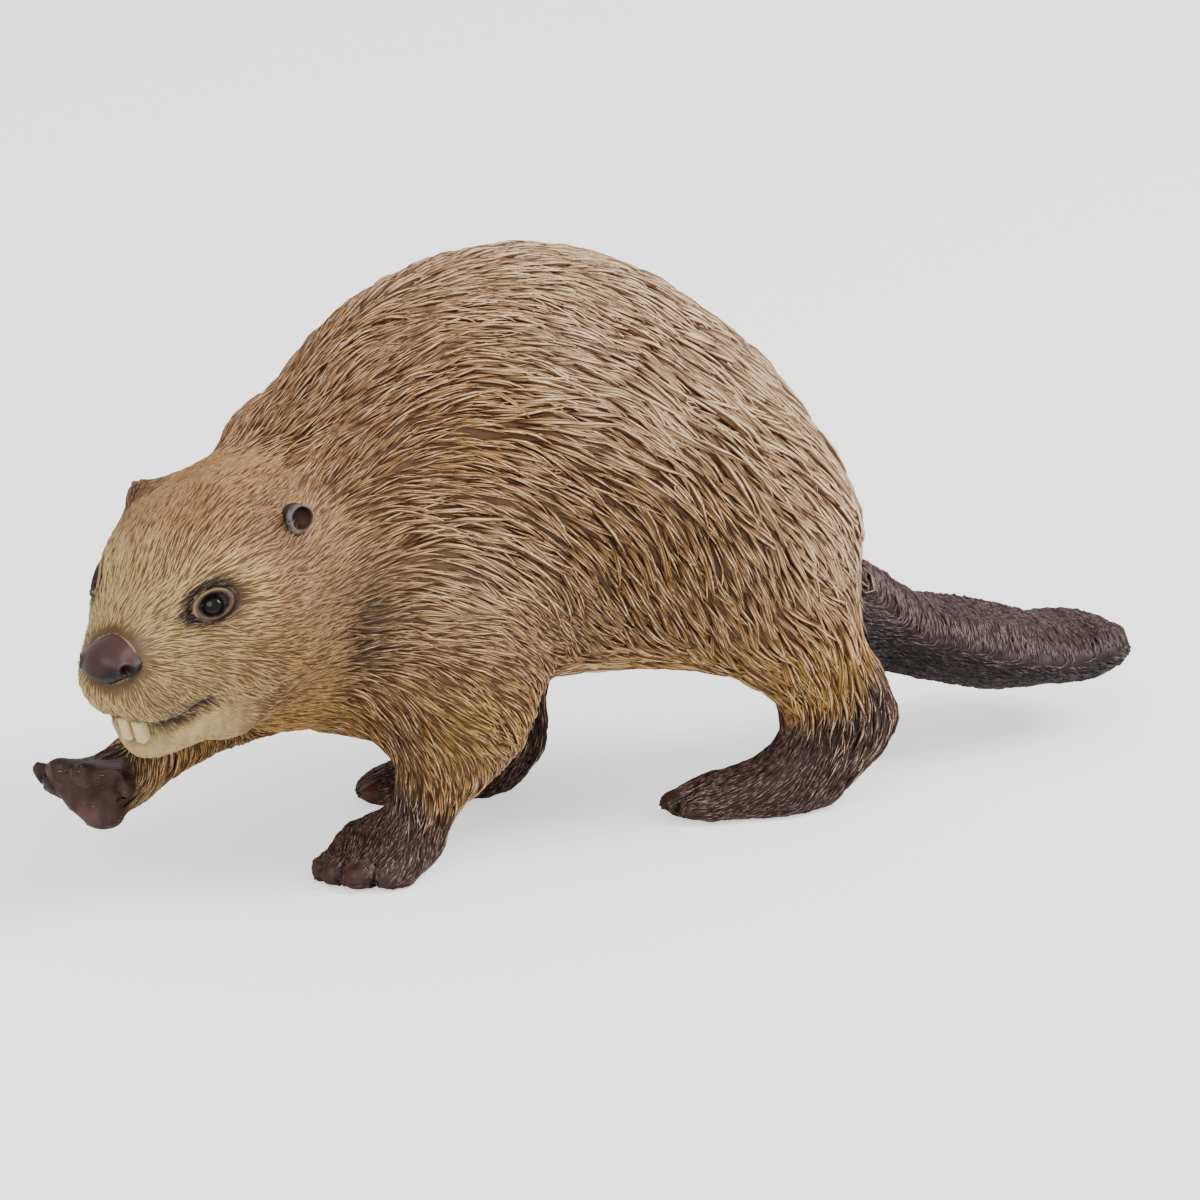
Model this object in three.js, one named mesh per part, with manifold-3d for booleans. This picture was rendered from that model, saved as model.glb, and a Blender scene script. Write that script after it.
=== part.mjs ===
// A toy beaver, moulded in soft plastic: it walks with its back humped, the right forepaw lifted and the
// head turned to its left. Millimetres, +Z up. The nose points along -X, the tail along +X, and the left
// side faces -Y. The body is modelled whole, as smoothly joined round forms, and then parted into its
// members with thin plane cuts.
import * as THREE from "three";
import { mergeVertices } from "three/addons/utils/BufferGeometryUtils.js";
import Module from "manifold-3d";

const wasm = await Module();
wasm.setup();
const radians = THREE.MathUtils.degToRad;

// ---- driving sizes -----------------------------------------------------------------------------------
const PART_GAP = 0.3; // slit between neighbouring pieces
const SAME_CORNER = 0.004; // corners closer than this are one
const HUMP_TOP = 50.6; // highest point of the back
const BELLY = 13.5; // underside of the trunk
const CHEST = 11.2; // underside of the chest
const HALF_WIDTH = 14.5; // of the trunk
const EYE_RADIUS = 1.6; // of the ball, which is sunk in its socket
const EYE_SEAT = [9.15, 5.1, -3.05]; // middle of the left ball, in the head's frame
const EAR_RADIUS = 1.95;
const EAR_SEAT = { left: [-0.4, 6.7, -0.5], right: [-0.4, -6.7, -1.3] };
const EAR_OPENS = [0.41, 0.87, 0.26]; // direction in which the left ear opens
const NOSE_RADII = [2.5, 2.75, 2.2];
const NOSE_SEAT = [16.5, 0, -4.2];
const NOSTRIL_RADIUS = 0.62;
const NOSTRIL_SEAT = [18, 1.75, -4.9]; // of the left one
const TOOTH_SIZE = [1.1, 1.35, 2.1]; // depth, width, height
const TOOTH_GAP = 0.34; // between the two incisors
const TEETH_SEAT = [16.4, 0, -11.3];
const MOUTH_SIZE = [4, 4.45, 2.7]; // opening between the lips, in which the incisors stand
const MOUTH_SEAT = [17.5, 0, -11.3];
const TOE_COUNT = 5;

// Facet sizes of the curved skin.
const FACET = { trunk: 3.4, limb: 2.6, tail: 2.2, head: 2, foot: 1.75, paw: 1.3 };

// Colours of the paint.
const COAT = 0x9a7144;
const PALE_COAT = 0xb59a68;
const DARK = 0x3a2620;
const NOSE = 0x4a2a2b;
const EYE = 0x120c0a;
const TOOTH = 0xe6dcb8;

// ---- frames ------------------------------------------------------------------------------------------
const V = (p) => new THREE.Vector3(...p);
const mix = (a, b, t) => a + (b - a) * t;

/**
 * A frame whose axes are [forward, left, up]. Yaw turns it left, pitch drops its nose, and roll lifts its
 * left side.
 */
function frame(at, yaw, pitch = 0, roll = 0) {
  const level = Math.cos(pitch);
  const forward = V([-Math.cos(yaw) * level, -Math.sin(yaw) * level, -Math.sin(pitch)]);
  const left = V([Math.sin(yaw), -Math.cos(yaw), 0]).applyAxisAngle(forward, roll);
  const up = new THREE.Vector3().crossVectors(forward, left);
  const matrix = new THREE.Matrix4().makeBasis(forward, left, up).setPosition(...at);
  return {
    matrix,
    point: (p) => V(p).applyMatrix4(matrix).toArray(),
    direction: (p) => V(p).transformDirection(matrix).toArray(),
  };
}
const BODY = { matrix: new THREE.Matrix4(), point: (p) => p };
const HEAD = frame([-38, -5, 34.1], radians(27), radians(20));
const TAIL = frame([40, 0, 8.5], radians(180), radians(13.5));
const LEFT_PAW = frame([-23.4, -6.1, 0], radians(36));
const RIGHT_PAW = frame([-44.5, 5, 5.8], radians(26), radians(-40), radians(24));
const LEFT_FOOT = frame([10.8, -7.5, 0], radians(-13));
const RIGHT_FOOT = frame([-10.7, 8.6, 0], radians(-10));

// ---- forms -------------------------------------------------------------------------------------------
// Each gives a signed distance, negative inside, and how far it blends into the forms before it.
/** An ellipsoid that reaches from low to high along each axis of a frame. */
function egg(low, high, blend, where = BODY) {
  const middle = low.map((v, i) => (v + high[i]) / 2);
  const [rx, ry, rz] = low.map((v, i) => (high[i] - v) / 2);
  const centring = new THREE.Matrix4().makeTranslation(...middle);
  const m = where.matrix.clone().multiply(centring).invert().elements;
  const distance = (x, y, z) => {
    const a = (m[0] * x + m[4] * y + m[8] * z + m[12]) / rx;
    const b = (m[1] * x + m[5] * y + m[9] * z + m[13]) / ry;
    const c = (m[2] * x + m[6] * y + m[10] * z + m[14]) / rz;
    const reach = Math.hypot(a, b, c);
    const slope = Math.hypot(a / rx, b / ry, c / rz);
    return slope < 1e-9 ? -Math.min(rx, ry, rz) : (reach * (reach - 1)) / slope;
  };
  return { distance, blend };
}

/** A round limb between two points, tapering from one radius to the other. */
function limb(from, to, fromRadius, toRadius, blend, where = BODY) {
  const a = where.point(from);
  const b = where.point(to);
  const d = b.map((v, i) => v - a[i]);
  const lengthSquared = d[0] * d[0] + d[1] * d[1] + d[2] * d[2];
  const distance = (x, y, z) => {
    const px = x - a[0];
    const py = y - a[1];
    const pz = z - a[2];
    const t = THREE.MathUtils.clamp((px * d[0] + py * d[1] + pz * d[2]) / lengthSquared, 0, 1);
    return Math.hypot(px - t * d[0], py - t * d[1], pz - t * d[2]) - mix(fromRadius, toRadius, t);
  };
  return { distance, blend };
}

/** The field of forms joined in order, each with its own blend. */
const union = (forms) => (x, y, z) => {
  let total = forms[0].distance(x, y, z);
  for (const { distance, blend } of forms.slice(1)) {
    const d = distance(x, y, z);
    const h = Math.max(blend - Math.abs(total - d), 0) / blend;
    total = Math.min(total, d) - (h * h * blend) / 4;
  }
  return total;
};

const SIDES = [1, -1]; // left, right
const TOES = Array.from({ length: TOE_COUNT }, (_, i) => i - (TOE_COUNT - 1) / 2);

// ---- the body ----------------------------------------------------------------------------------------
function trunkForms() {
  return [
    egg([-28.4, -HALF_WIDTH, BELLY], [12, HALF_WIDTH, HUMP_TOP], 1), // hump of the back
    egg([-10, -HALF_WIDTH, BELLY], [18.9, HALF_WIDTH, 41.2], 7), // rump
    egg([-30.8, -10, 15], [-5, 10, 45.4], 7), // withers
    egg([-30, -9, CHEST], [-12, 9, 31], 7), // chest
  ];
}

function neckForms() {
  return [
    limb([-22, 0, 28.6], [-36, -4, 26.1], 9.8, 7.3, 6), // nape
    limb([-25, 0, 20.3], [-36, -4, 21.5], 8.6, 6.3, 5), // throat
  ];
}

function headForms() {
  const forms = [
    egg([-9, -8.8, -12.4], [12, 8.8, 2.8], 4, HEAD), // skull
    egg([6, -5.2, -11.1], [18, 5.2, -1.9], 4, HEAD), // muzzle
    limb([3.5, 0, -12.4], [13.6, 0, -12.8], 6.2, 2.6, 3, HEAD), // jaw
    egg([11.2, -2.7, -15.5], [17.2, 2.7, -10.9], 1.5, HEAD), // chin
  ];
  for (const side of SIDES) {
    const cheek = 4.4 * side;
    const lip = 2.1 * side;
    forms.push(egg([-2.5, cheek - 4.8, -14.5], [11.5, cheek + 4.8, -2.5], 3, HEAD));
    forms.push(egg([11.4, lip - 2.8, -10.6], [17.8, lip + 2.8, -5], 1.6, HEAD));
  }
  return forms;
}

/** A foreleg from the shoulder mass to the wrist. */
function forelegForms({ shoulder, elbow, wrist, elbowRadius, wristRadius }) {
  const [x, y, z] = shoulder;
  return [
    egg([x - 8, y - 5, z - 9], [x + 8, y + 5, z + 9], 5),
    limb(shoulder, elbow, 5.8, elbowRadius, 4),
    limb(elbow, wrist, elbowRadius, wristRadius, 3),
  ];
}

/** A forepaw with its palm at the frame's floor: palm, and toes fanned along its front. */
function forepawForms(where) {
  const forms = [egg([-4.4, -4.5, -0.8], [4.2, 4.5, 4.8], 2, where)];
  for (const toe of TOES) {
    const reach = 4.5 - 0.3 * toe * toe;
    forms.push(limb([1, 1.5 * toe, 2.2], [reach, 1.85 * toe, 1], 1.3, 1.15, 0.6, where));
  }
  return forms;
}

/** A hind leg from the haunch to the hock. */
function hindLegForms({ haunch, knee, hock, kneeRadius, hockRadius }) {
  const [x, y, z] = haunch;
  return [
    egg([x - 10, y - 6.5, z - 10], [x + 10, y + 6.5, z + 10], 5),
    limb(knee, hock, kneeRadius, hockRadius, 4),
  ];
}

/** A hind foot: heel, sole and webbed toes that close to a point. */
function hindFootForms(hock, heel, where) {
  const forms = [
    limb(hock, where.point([-3.5, 0, 2.9]), heel, 3, 3),
    egg([-6.6, -3.4, -1], [6.8, 3.4, 4], 2.5, where),
  ];
  for (const toe of TOES) {
    const reach = 7.4 - 0.4 * toe * toe;
    forms.push(limb([2, 1.2 * toe, 1.6], [reach, 1.2 * toe, 1.1], 1.3, 0.95, 0.5, where));
  }
  return forms;
}

function tailForms() {
  return [
    limb([16, 0, 17.5], [28.5, 0, 12], 6.2, 3.8, 5), // root
    egg([-14, -6.2, -3.4], [3, 6.2, 3.4], 3, TAIL),
    egg([-12.5, -8, -2.3], [11.8, 8, 2.3], 3, TAIL), // blade
    egg([2, -6.6, -1.7], [12.4, 6.6, 1.7], 2, TAIL), // its blunt tip
  ];
}

const LEFT_HOCK = [19.5, -8.2, 6.8];
const RIGHT_HOCK = [-4.6, 8, 5];
const legForms = {
  foreleg_left: forelegForms({
    shoulder: [-17.5, -8, 22],
    elbow: [-17.2, -8.6, 13.3],
    wrist: [-20.8, -7.2, 4.5],
    elbowRadius: 4.7,
    wristRadius: 2.5,
  }),
  foreleg_right: forelegForms({
    shoulder: [-19, 8, 21],
    elbow: [-29, 8.2, 13.4],
    wrist: [-41, 6.8, 7.8],
    elbowRadius: 4.3,
    wristRadius: 2.6,
  }),
  hind_leg_left: hindLegForms({
    haunch: [10.5, -7.8, 23.6],
    knee: [12.5, -9, 17.3],
    hock: [19.5, -8.2, 8.4],
    kneeRadius: 5.3,
    hockRadius: 3.9,
  }),
  hind_leg_right: hindLegForms({
    haunch: [4, 7.8, 22.8],
    knee: [-4, 9.5, 15.5],
    hock: [-5.2, 8.3, 7],
    kneeRadius: 4.7,
    hockRadius: 3.1,
  }),
};

const body = union([
  ...trunkForms(),
  ...neckForms(),
  ...headForms(),
  ...Object.values(legForms).flat(),
  ...forepawForms(LEFT_PAW),
  ...forepawForms(RIGHT_PAW),
  ...hindFootForms(LEFT_HOCK, 3.9, LEFT_FOOT),
  ...hindFootForms(RIGHT_HOCK, 3.4, RIGHT_FOOT),
  ...tailForms(),
]);
const standing = (x, y, z) => Math.max(body(x, y, z), -z); // soles cut flat at the floor

// ---- from a field to a solid -------------------------------------------------------------------------
const CORNERS = Array.from({ length: 8 }, (_, c) => [c & 1, (c >> 1) & 1, (c >> 2) & 1]);
const EDGES = [];
for (const corner of CORNERS) {
  for (let c = 0; c < 3; c++) {
    if (!corner[c]) EDGES.push([corner, corner.map((v, i) => (i === c ? 1 : v))]);
  }
}
const STEEP_ENOUGH = 1e-6; // below this a field has no direction to settle along

/** Moves a point that lies near a field's surface onto it, by less than half a facet. */
function settle(field, start, facet) {
  const step = 1e-3;
  let p = [...start];
  for (let pass = 0; pass < 3; pass++) {
    const here = field(...p);
    const beside = (c) => field(...p.map((v, i) => (i === c ? v + step : v)));
    const slope = p.map((_, c) => (beside(c) - here) / step);
    const steepness = slope.reduce((sum, s) => sum + s * s, 0);
    if (steepness < STEEP_ENOUGH) break;
    p = p.map((v, c) => v - (here * slope[c]) / steepness);
  }
  return Math.hypot(...p.map((v, c) => v - start[c])) < facet / 2 ? p : start;
}

/** A closed mesh over a field's surface in a box, with one vertex in each cell that the surface crosses. */
function surfaceOf(field, low, high, facet) {
  const count = low.map((v, i) => Math.ceil((high[i] - v) / facet) + 1);
  const index = (i, j, k) => (i * count[1] + j) * count[2] + k;
  const onBorder = (...cell) => cell.some((v, c) => v === 0 || v === count[c] - 1);
  const place = (cell) => low.map((v, c) => v + cell[c] * facet);
  const value = new Float64Array(count[0] * count[1] * count[2]);
  const eachCell = (start, stop, visit) => {
    for (let i = start; i < count[0] - stop; i++) {
      for (let j = start; j < count[1] - stop; j++) {
        for (let k = start; k < count[2] - stop; k++) visit(i, j, k);
      }
    }
  };
  eachCell(0, 0, (i, j, k) => {
    value[index(i, j, k)] = onBorder(i, j, k) ? facet : field(...place([i, j, k]));
  });

  const vertexOf = new Map();
  const positions = [];
  eachCell(0, 1, (i, j, k) => {
    const sum = [0, 0, 0];
    let crossings = 0;
    for (const [a, b] of EDGES) {
      const va = value[index(i + a[0], j + a[1], k + a[2])];
      const vb = value[index(i + b[0], j + b[1], k + b[2])];
      if (va < 0 === vb < 0) continue;
      for (let c = 0; c < 3; c++) sum[c] += mix(a[c], b[c], va / (va - vb));
      crossings++;
    }
    if (!crossings) return;
    const start = place([i, j, k].map((v, c) => v + sum[c] / crossings));
    vertexOf.set(index(i, j, k), positions.length / 3);
    positions.push(...settle(field, start, facet));
  });

  const triangles = [];
  const corner = (v) => V(positions.slice(3 * v, 3 * v + 3));
  const span = (a, b) => corner(a).distanceTo(corner(b));
  eachCell(1, 0, (i, j, k) => {
    const inside = value[index(i, j, k)] < 0;
    const crosses = (di, dj, dk) => inside !== value[index(i - di, j - dj, k - dk)] < 0;
    const quad = (...offsets) => {
      const ring = offsets.map(([di, dj, dk]) => vertexOf.get(index(i - di, j - dj, k - dk)));
      if (inside) ring.reverse();
      const [a, b, c, d] = ring;
      if (span(b, d) < span(a, c)) triangles.push(b, c, d, b, d, a); // the shorter diagonal
      else triangles.push(a, b, c, a, c, d);
    };
    if (crosses(1, 0, 0)) quad([1, 1, 1], [1, 0, 1], [1, 0, 0], [1, 1, 0]);
    if (crosses(0, 1, 0)) quad([1, 1, 1], [1, 1, 0], [0, 1, 0], [0, 1, 1]);
    if (crosses(0, 0, 1)) quad([1, 1, 1], [0, 1, 1], [0, 0, 1], [1, 0, 1]);
  });
  const geometry = new THREE.BufferGeometry();
  geometry.setAttribute("position", new THREE.Float32BufferAttribute(positions, 3));
  geometry.setIndex(triangles);
  return geometry;
}

/** A solid for joining and cutting, from any closed geometry. */
function solidOf(geometry) {
  const bare = new THREE.BufferGeometry();
  bare.setAttribute("position", geometry.getAttribute("position"));
  bare.setIndex(geometry.index);
  const merged = mergeVertices(bare, 1e-4);
  const vertProperties = new Float32Array(merged.attributes.position.array);
  const triVerts = new Uint32Array(merged.index.array);
  return new wasm.Manifold(new wasm.Mesh({ numProp: 3, vertProperties, triVerts }));
}

/**
 * A block from low to high, cut off behind each plane. A plane is a point and the normal of its kept side.
 * Grown, it reaches further by that much all round.
 */
function block({ low, high, planes }, grow = 0) {
  const size = V(high).sub(V(low)).addScalar(2 * grow);
  const middle = V(high).add(V(low)).multiplyScalar(0.5);
  const box = new THREE.BoxGeometry(...size.toArray()).translate(...middle.toArray());
  const reach = 2 * size.length();
  let solid = solidOf(box);
  for (const [point, normal] of planes) {
    const turn = new THREE.Quaternion().setFromUnitVectors(V([0, 0, 1]), V(normal).normalize());
    const kept = new THREE.BoxGeometry(reach, reach, reach).translate(0, 0, reach / 2 - grow);
    solid = solid.intersect(solidOf(kept.applyQuaternion(turn).translate(...point)));
  }
  return solid;
}

// ---- where the body is parted ------------------------------------------------------------------------
// Each member takes what lies in its block, less what those before it took. A plane is a point on the cut
// and a normal that points into the member.
const MEMBERS = {
  tail: {
    low: [14, -12, 1],
    high: [58, 12, 30],
    planes: [[[21, 0, 16], [0.9, 0, -0.4]], [[23, -5, 11.5], [0.45, 0.45, 0.77]]],
    facet: FACET.tail,
    color: DARK,
  },
  forepaw_left: {
    low: [-34, -16, -1],
    high: [-14, 3, 9],
    planes: [[[-21, -7, 5], [-0.5, 0, -0.87]]],
    facet: FACET.paw,
    color: DARK,
  },
  forepaw_right: {
    low: [-56.4, -5.3, 1],
    high: [-36, 15, 13],
    planes: [[[-41.8, 6.4, 8], [-0.9, -0.1, -0.3]]],
    facet: FACET.paw,
    color: DARK,
  },
  foreleg_left: {
    low: [-30, -20, -1],
    high: [-8, 1, 26],
    planes: [[[-18, -3.5, 13], [0, -0.8, -0.6]]],
    facet: FACET.limb,
    color: PALE_COAT,
  },
  foreleg_right: {
    low: [-46, 0, 2],
    high: [-20, 20, 26],
    planes: [[[-25, 6, 14.5], [-0.7, 0.45, -0.55]], [[-36, 3.5, 14], [0, 0.6, -0.8]]],
    facet: FACET.limb,
    color: PALE_COAT,
  },
  hind_foot_left: {
    low: [-2, -16, -1],
    high: [28, 0, 11.6],
    planes: [[[17, -8, 7], [-0.6, 0, -0.8]]],
    facet: FACET.foot,
    color: DARK,
  },
  hind_foot_right: {
    low: [-24.5, 0.5, -1],
    high: [6, 16, 9],
    planes: [[[-6, 8, 6.6], [-0.45, 0, -0.9]]],
    facet: FACET.foot,
    color: DARK,
  },
  hind_leg_left: {
    low: [-2.2, -21.2, -1.6],
    high: [30, -1, 38],
    planes: [[[10, -5.3, 18], [0.1, -0.86, -0.48]]],
    facet: FACET.limb,
    color: COAT,
  },
  hind_leg_right: {
    low: [-16.4, 0.7, -1],
    high: [22, 22, 38],
    planes: [[[0, 5.5, 17], [-0.05, 0.85, -0.5]]],
    facet: FACET.limb,
    color: COAT,
  },
  lower_jaw: {
    low: [-58, -24, 8],
    high: [-34, 8, 30],
    planes: [
      [HEAD.point([12, 0, -10.9]), HEAD.direction([0.05, 0, -1])],
      [HEAD.point([6.5, 0, -12]), HEAD.direction([1, 0, -0.2])],
    ],
    facet: FACET.head,
    color: PALE_COAT,
  },
  head: {
    low: [-60, -26, 8],
    high: [-26, 14, 46],
    planes: [[HEAD.point([-4.4, 0, 0]), HEAD.direction([1, 0, -0.1])]],
    facet: FACET.head,
    color: PALE_COAT,
  },
  neck: {
    low: [-54, -22, 6],
    high: [-14, 22, 50],
    planes: [[[-27.5, 0, 30], [-0.93, -0.15, -0.05]]],
    facet: FACET.limb,
    color: COAT,
  },
  trunk: { low: [-45, -25, 5], high: [34, 24, 56], planes: [], facet: FACET.trunk, color: COAT },
};

const toy = new THREE.Group();

/** Adds a piece to the toy as a mesh. Corners that a cut leaves almost on one another become one. */
function add(name, solid, color, roughness = 0.6) {
  const { vertProperties, triVerts } = solid.getMesh();
  const cut = new THREE.BufferGeometry();
  cut.setAttribute("position", new THREE.BufferAttribute(new Float32Array(vertProperties), 3));
  cut.setIndex(new THREE.BufferAttribute(new Uint32Array(triVerts), 1));
  const geometry = mergeVertices(cut, SAME_CORNER);
  const corners = geometry.index.array;
  const kept = [];
  for (let i = 0; i < corners.length; i += 3) {
    const [a, b, c] = corners.slice(i, i + 3);
    if (a !== b && b !== c && c !== a) kept.push(a, b, c);
  }
  geometry.setIndex(kept);
  const paint = new THREE.MeshStandardMaterial({ color, roughness, metalness: 0 });
  const mesh = new THREE.Mesh(geometry, paint);
  mesh.name = name;
  toy.add(mesh);
}

// ---- eyes, ears, nose and teeth: each a crisp form in the head's frame -------------------------------
/** Places a geometry in the head's frame and makes it a solid. */
const inHead = (geometry) => solidOf(geometry.applyMatrix4(HEAD.matrix));
const onSide = ([x, y, z], side) => [x, y * side, z];

function eyeSolid(side, grow = 0) {
  const ball = new THREE.SphereGeometry(EYE_RADIUS + grow, 12, 8);
  return inHead(ball.translate(...onSide(EYE_SEAT, side)));
}

/** An ear: a short round cup. Grown, it is only the outside, for its pocket. */
function earSolid(side, grow = 0) {
  const r = EAR_RADIUS + grow;
  const outside = [[0, -1.6 - grow], [0.75 * r, -1.3 - grow], [r, 0], [0.96 * r, 1.1 + grow]];
  const inside = grow ? [[0, 1.2 + grow]] : [[0.66 * r, 1.2], [0.58 * r, 0.2], [0, -0.3]];
  const profile = [...outside, ...inside].map(([x, y]) => new THREE.Vector2(x, y));
  const axis = V(onSide(EAR_OPENS, side)).normalize();
  const turn = new THREE.Quaternion().setFromUnitVectors(V([0, 1, 0]), axis);
  const seat = side > 0 ? EAR_SEAT.left : EAR_SEAT.right;
  return inHead(new THREE.LatheGeometry(profile, 14).applyQuaternion(turn).translate(...seat));
}

/** The nose pad, wider than high; the nostrils are dimples at its sides. Grown, it has none. */
function noseSolid(grow = 0) {
  const pad = new THREE.SphereGeometry(1, 16, 10).scale(...NOSE_RADII.map((r) => r + grow));
  let nose = inHead(pad.translate(...NOSE_SEAT));
  if (grow) return nose;
  for (const side of SIDES) {
    const nostril = new THREE.SphereGeometry(NOSTRIL_RADIUS, 8, 6);
    nose = nose.subtract(inHead(nostril.translate(...onSide(NOSTRIL_SEAT, side))));
  }
  return nose;
}

function toothSolid(side) {
  const beside = ((TOOTH_SIZE[1] + TOOTH_GAP) / 2) * side;
  const tooth = new THREE.BoxGeometry(...TOOTH_SIZE);
  return inHead(tooth.translate(...TEETH_SEAT).translate(0, beside, 0));
}

const mouthSolid = () => inHead(new THREE.BoxGeometry(...MOUTH_SIZE).translate(...MOUTH_SEAT));

// ---- parting and adding ------------------------------------------------------------------------------
const pockets = [noseSolid(PART_GAP), mouthSolid()];
for (const side of SIDES) pockets.push(eyeSolid(side, PART_GAP), earSolid(side, PART_GAP));

const taken = [];
for (const [name, member] of Object.entries(MEMBERS)) {
  const margin = member.facet;
  const low = member.low.map((v) => v - margin);
  const high = member.high.map((v) => v + margin);
  let solid = solidOf(surfaceOf(standing, low, high, member.facet)).intersect(block(member));
  for (const cut of taken) solid = solid.subtract(cut);
  if (name === "head" || name === "lower_jaw") for (const pocket of pockets) solid = solid.subtract(pocket);
  add(name, solid, member.color);
  taken.push(block(member, PART_GAP));
}
SIDES.forEach((side, i) => {
  const suffix = ["left", "right"][i];
  add(`ear_${suffix}`, earSolid(side), DARK);
  add(`eye_${suffix}`, eyeSolid(side), EYE, 0.15);
  add(`incisor_${suffix}`, toothSolid(side), TOOTH, 0.4);
});
add("nose", noseSolid(), NOSE, 0.4);

// The origin is the middle of the footprint of the whole toy, on the floor.
const bounds = new THREE.Box3().setFromObject(toy);
const middle = bounds.getCenter(new THREE.Vector3());
toy.position.set(-middle.x, -middle.y, -bounds.min.z);

export default toy;
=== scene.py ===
"""The looks of the toy beaver: moulded fur, painted and dry-brushed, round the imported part."""

import math

import bmesh
import bpy
import numpy as np
from mathutils import Matrix, Vector
from mathutils.bvhtree import BVHTree
from mathutils.kdtree import KDTree


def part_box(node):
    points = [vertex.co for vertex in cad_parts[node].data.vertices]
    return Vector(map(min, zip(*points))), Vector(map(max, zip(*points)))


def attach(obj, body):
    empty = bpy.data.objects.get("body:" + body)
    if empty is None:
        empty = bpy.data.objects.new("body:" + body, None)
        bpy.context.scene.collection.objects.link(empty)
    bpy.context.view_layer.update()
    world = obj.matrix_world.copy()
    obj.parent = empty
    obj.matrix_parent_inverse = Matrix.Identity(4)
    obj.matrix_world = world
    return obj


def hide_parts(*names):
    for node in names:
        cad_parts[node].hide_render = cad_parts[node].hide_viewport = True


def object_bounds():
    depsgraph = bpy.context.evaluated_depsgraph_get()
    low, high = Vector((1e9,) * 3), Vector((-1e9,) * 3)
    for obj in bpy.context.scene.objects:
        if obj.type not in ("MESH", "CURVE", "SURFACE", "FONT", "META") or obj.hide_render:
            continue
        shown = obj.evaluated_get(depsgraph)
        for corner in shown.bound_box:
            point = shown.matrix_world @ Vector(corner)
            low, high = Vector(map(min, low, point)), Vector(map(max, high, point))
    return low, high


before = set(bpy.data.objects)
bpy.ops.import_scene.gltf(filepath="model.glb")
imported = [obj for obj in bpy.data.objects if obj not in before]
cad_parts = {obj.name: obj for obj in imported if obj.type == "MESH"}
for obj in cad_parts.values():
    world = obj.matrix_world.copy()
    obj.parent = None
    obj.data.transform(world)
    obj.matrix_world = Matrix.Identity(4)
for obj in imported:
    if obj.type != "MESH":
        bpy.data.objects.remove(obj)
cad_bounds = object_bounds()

MM = 0.001  # one millimetre, in Blender's metres; places below are in millimetres
SAME_PLACE = 1e-6  # corners closer than this, in metres, are merged
rng = np.random.default_rng(11)


# ---- places ---------------------------------------------------------------------------------------
def unit(v):
    """v as a unit vector, or each row of it."""
    return v / np.maximum(np.linalg.norm(v, axis=-1, keepdims=True), 1e-12)


def ease(x, start=0.0, end=1.0):
    """0 before start, 1 after end, and a smooth rise between."""
    t = np.clip((x - start) / (end - start), 0, 1)
    return t * t * (3 - 2 * t)


def bell(x, width):
    """1 at 0, and a smooth fall to almost nothing within two widths."""
    return np.exp(-((x / width) ** 2))


def away_from(points, at, radii=1.0):
    """How far each point is from a middle, counted in radii where they are given."""
    return np.linalg.norm((points - np.array(at, float)) / radii, axis=1)


def blot(points, at, radii):
    """1 in the middle of a soft spot of the given radii, and 0 away from it."""
    return bell(away_from(points, at, radii), 1.0)


def middle(node):
    """The middle of a CAD node, in millimetres."""
    low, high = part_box(node)
    return np.array(low + high) / 2 / MM


class Place:
    """Axes that point forward, left and up from an origin."""

    def __init__(self, origin, forward, left):
        forward, left = unit(np.array(forward, float)), unit(np.array(left, float))
        self.origin = np.array(origin, float)
        self.axes = np.array([forward, left, np.cross(forward, left)])

    def local(self, points):
        return (points - self.origin) @ self.axes.T

    def world(self, points):
        return self.origin + np.asarray(points, float) @ self.axes

    def turned(self, directions):
        return np.asarray(directions, float) @ self.axes


def heading(yaw, pitch=0.0):
    """The direction that points along -X, turned left by yaw and dropped by pitch, in degrees."""
    yaw, pitch = math.radians(yaw), math.radians(pitch)
    level = math.cos(pitch)
    return np.array([-math.cos(yaw) * level, -math.sin(yaw) * level, -math.sin(pitch)])


def head_place():
    """The head's own axes. Its origin lies behind and above the eyes, and the nose dips below their line."""
    left = unit(middle("eye_left") - middle("eye_right"))
    between = (middle("eye_left") + middle("eye_right")) / 2
    muzzle = middle("nose") - between
    muzzle = unit(muzzle - left * (muzzle @ left))
    lift = np.cross(muzzle, left)
    dip = math.radians(8.9)
    forward = muzzle * math.cos(dip) + lift * math.sin(dip)
    up = np.cross(forward, left)
    return Place(between - 9.15 * forward + 3.05 * up, forward, left)


def rolled(forward, left, degrees):
    """The left axis of a place whose left side is lifted by that many degrees."""
    angle = math.radians(degrees)
    return left * math.cos(angle) + np.cross(forward, left) * math.sin(angle)


HEAD = head_place()
LEFT_PAW = Place(middle("forepaw_left") + (0.44, 0.41, -3.09), heading(36), heading(126))
RIGHT_PAW = Place(middle("forepaw_right") + (0.49, -0.46, -1.4), heading(26, -40),
                  rolled(heading(26, -40), heading(116), 24))
LEFT_FOOT = Place(middle("hind_foot_left") + (-1.48, 0.15, -5.8), heading(-13), heading(77))
RIGHT_FOOT = Place(middle("hind_foot_right") + (-1.01, 0.02, -3.94), heading(-10), heading(80))
BODY = Place((0, 0, 0), (1, 0, 0), (0, 1, 0))
SIDES = (1, -1)  # left, right
LID_BACK = -1.6  # how far behind an eye's middle its lids still count


def side_name(side):
    return "left" if side > 0 else "right"


def mirrored(p, side):
    """A place or direction of the left side, or its mirror image on the right."""
    return np.array(p, float) * (1, side, 1)


# ---- meshes ---------------------------------------------------------------------------------------
def add_object(name, mesh):
    thing = bpy.data.objects.new(name, mesh)
    bpy.context.scene.collection.objects.link(thing)
    return thing


def as_mesh(bm, name):
    mesh = bpy.data.meshes.new(name)
    bm.to_mesh(mesh)
    bm.free()
    return mesh


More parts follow.
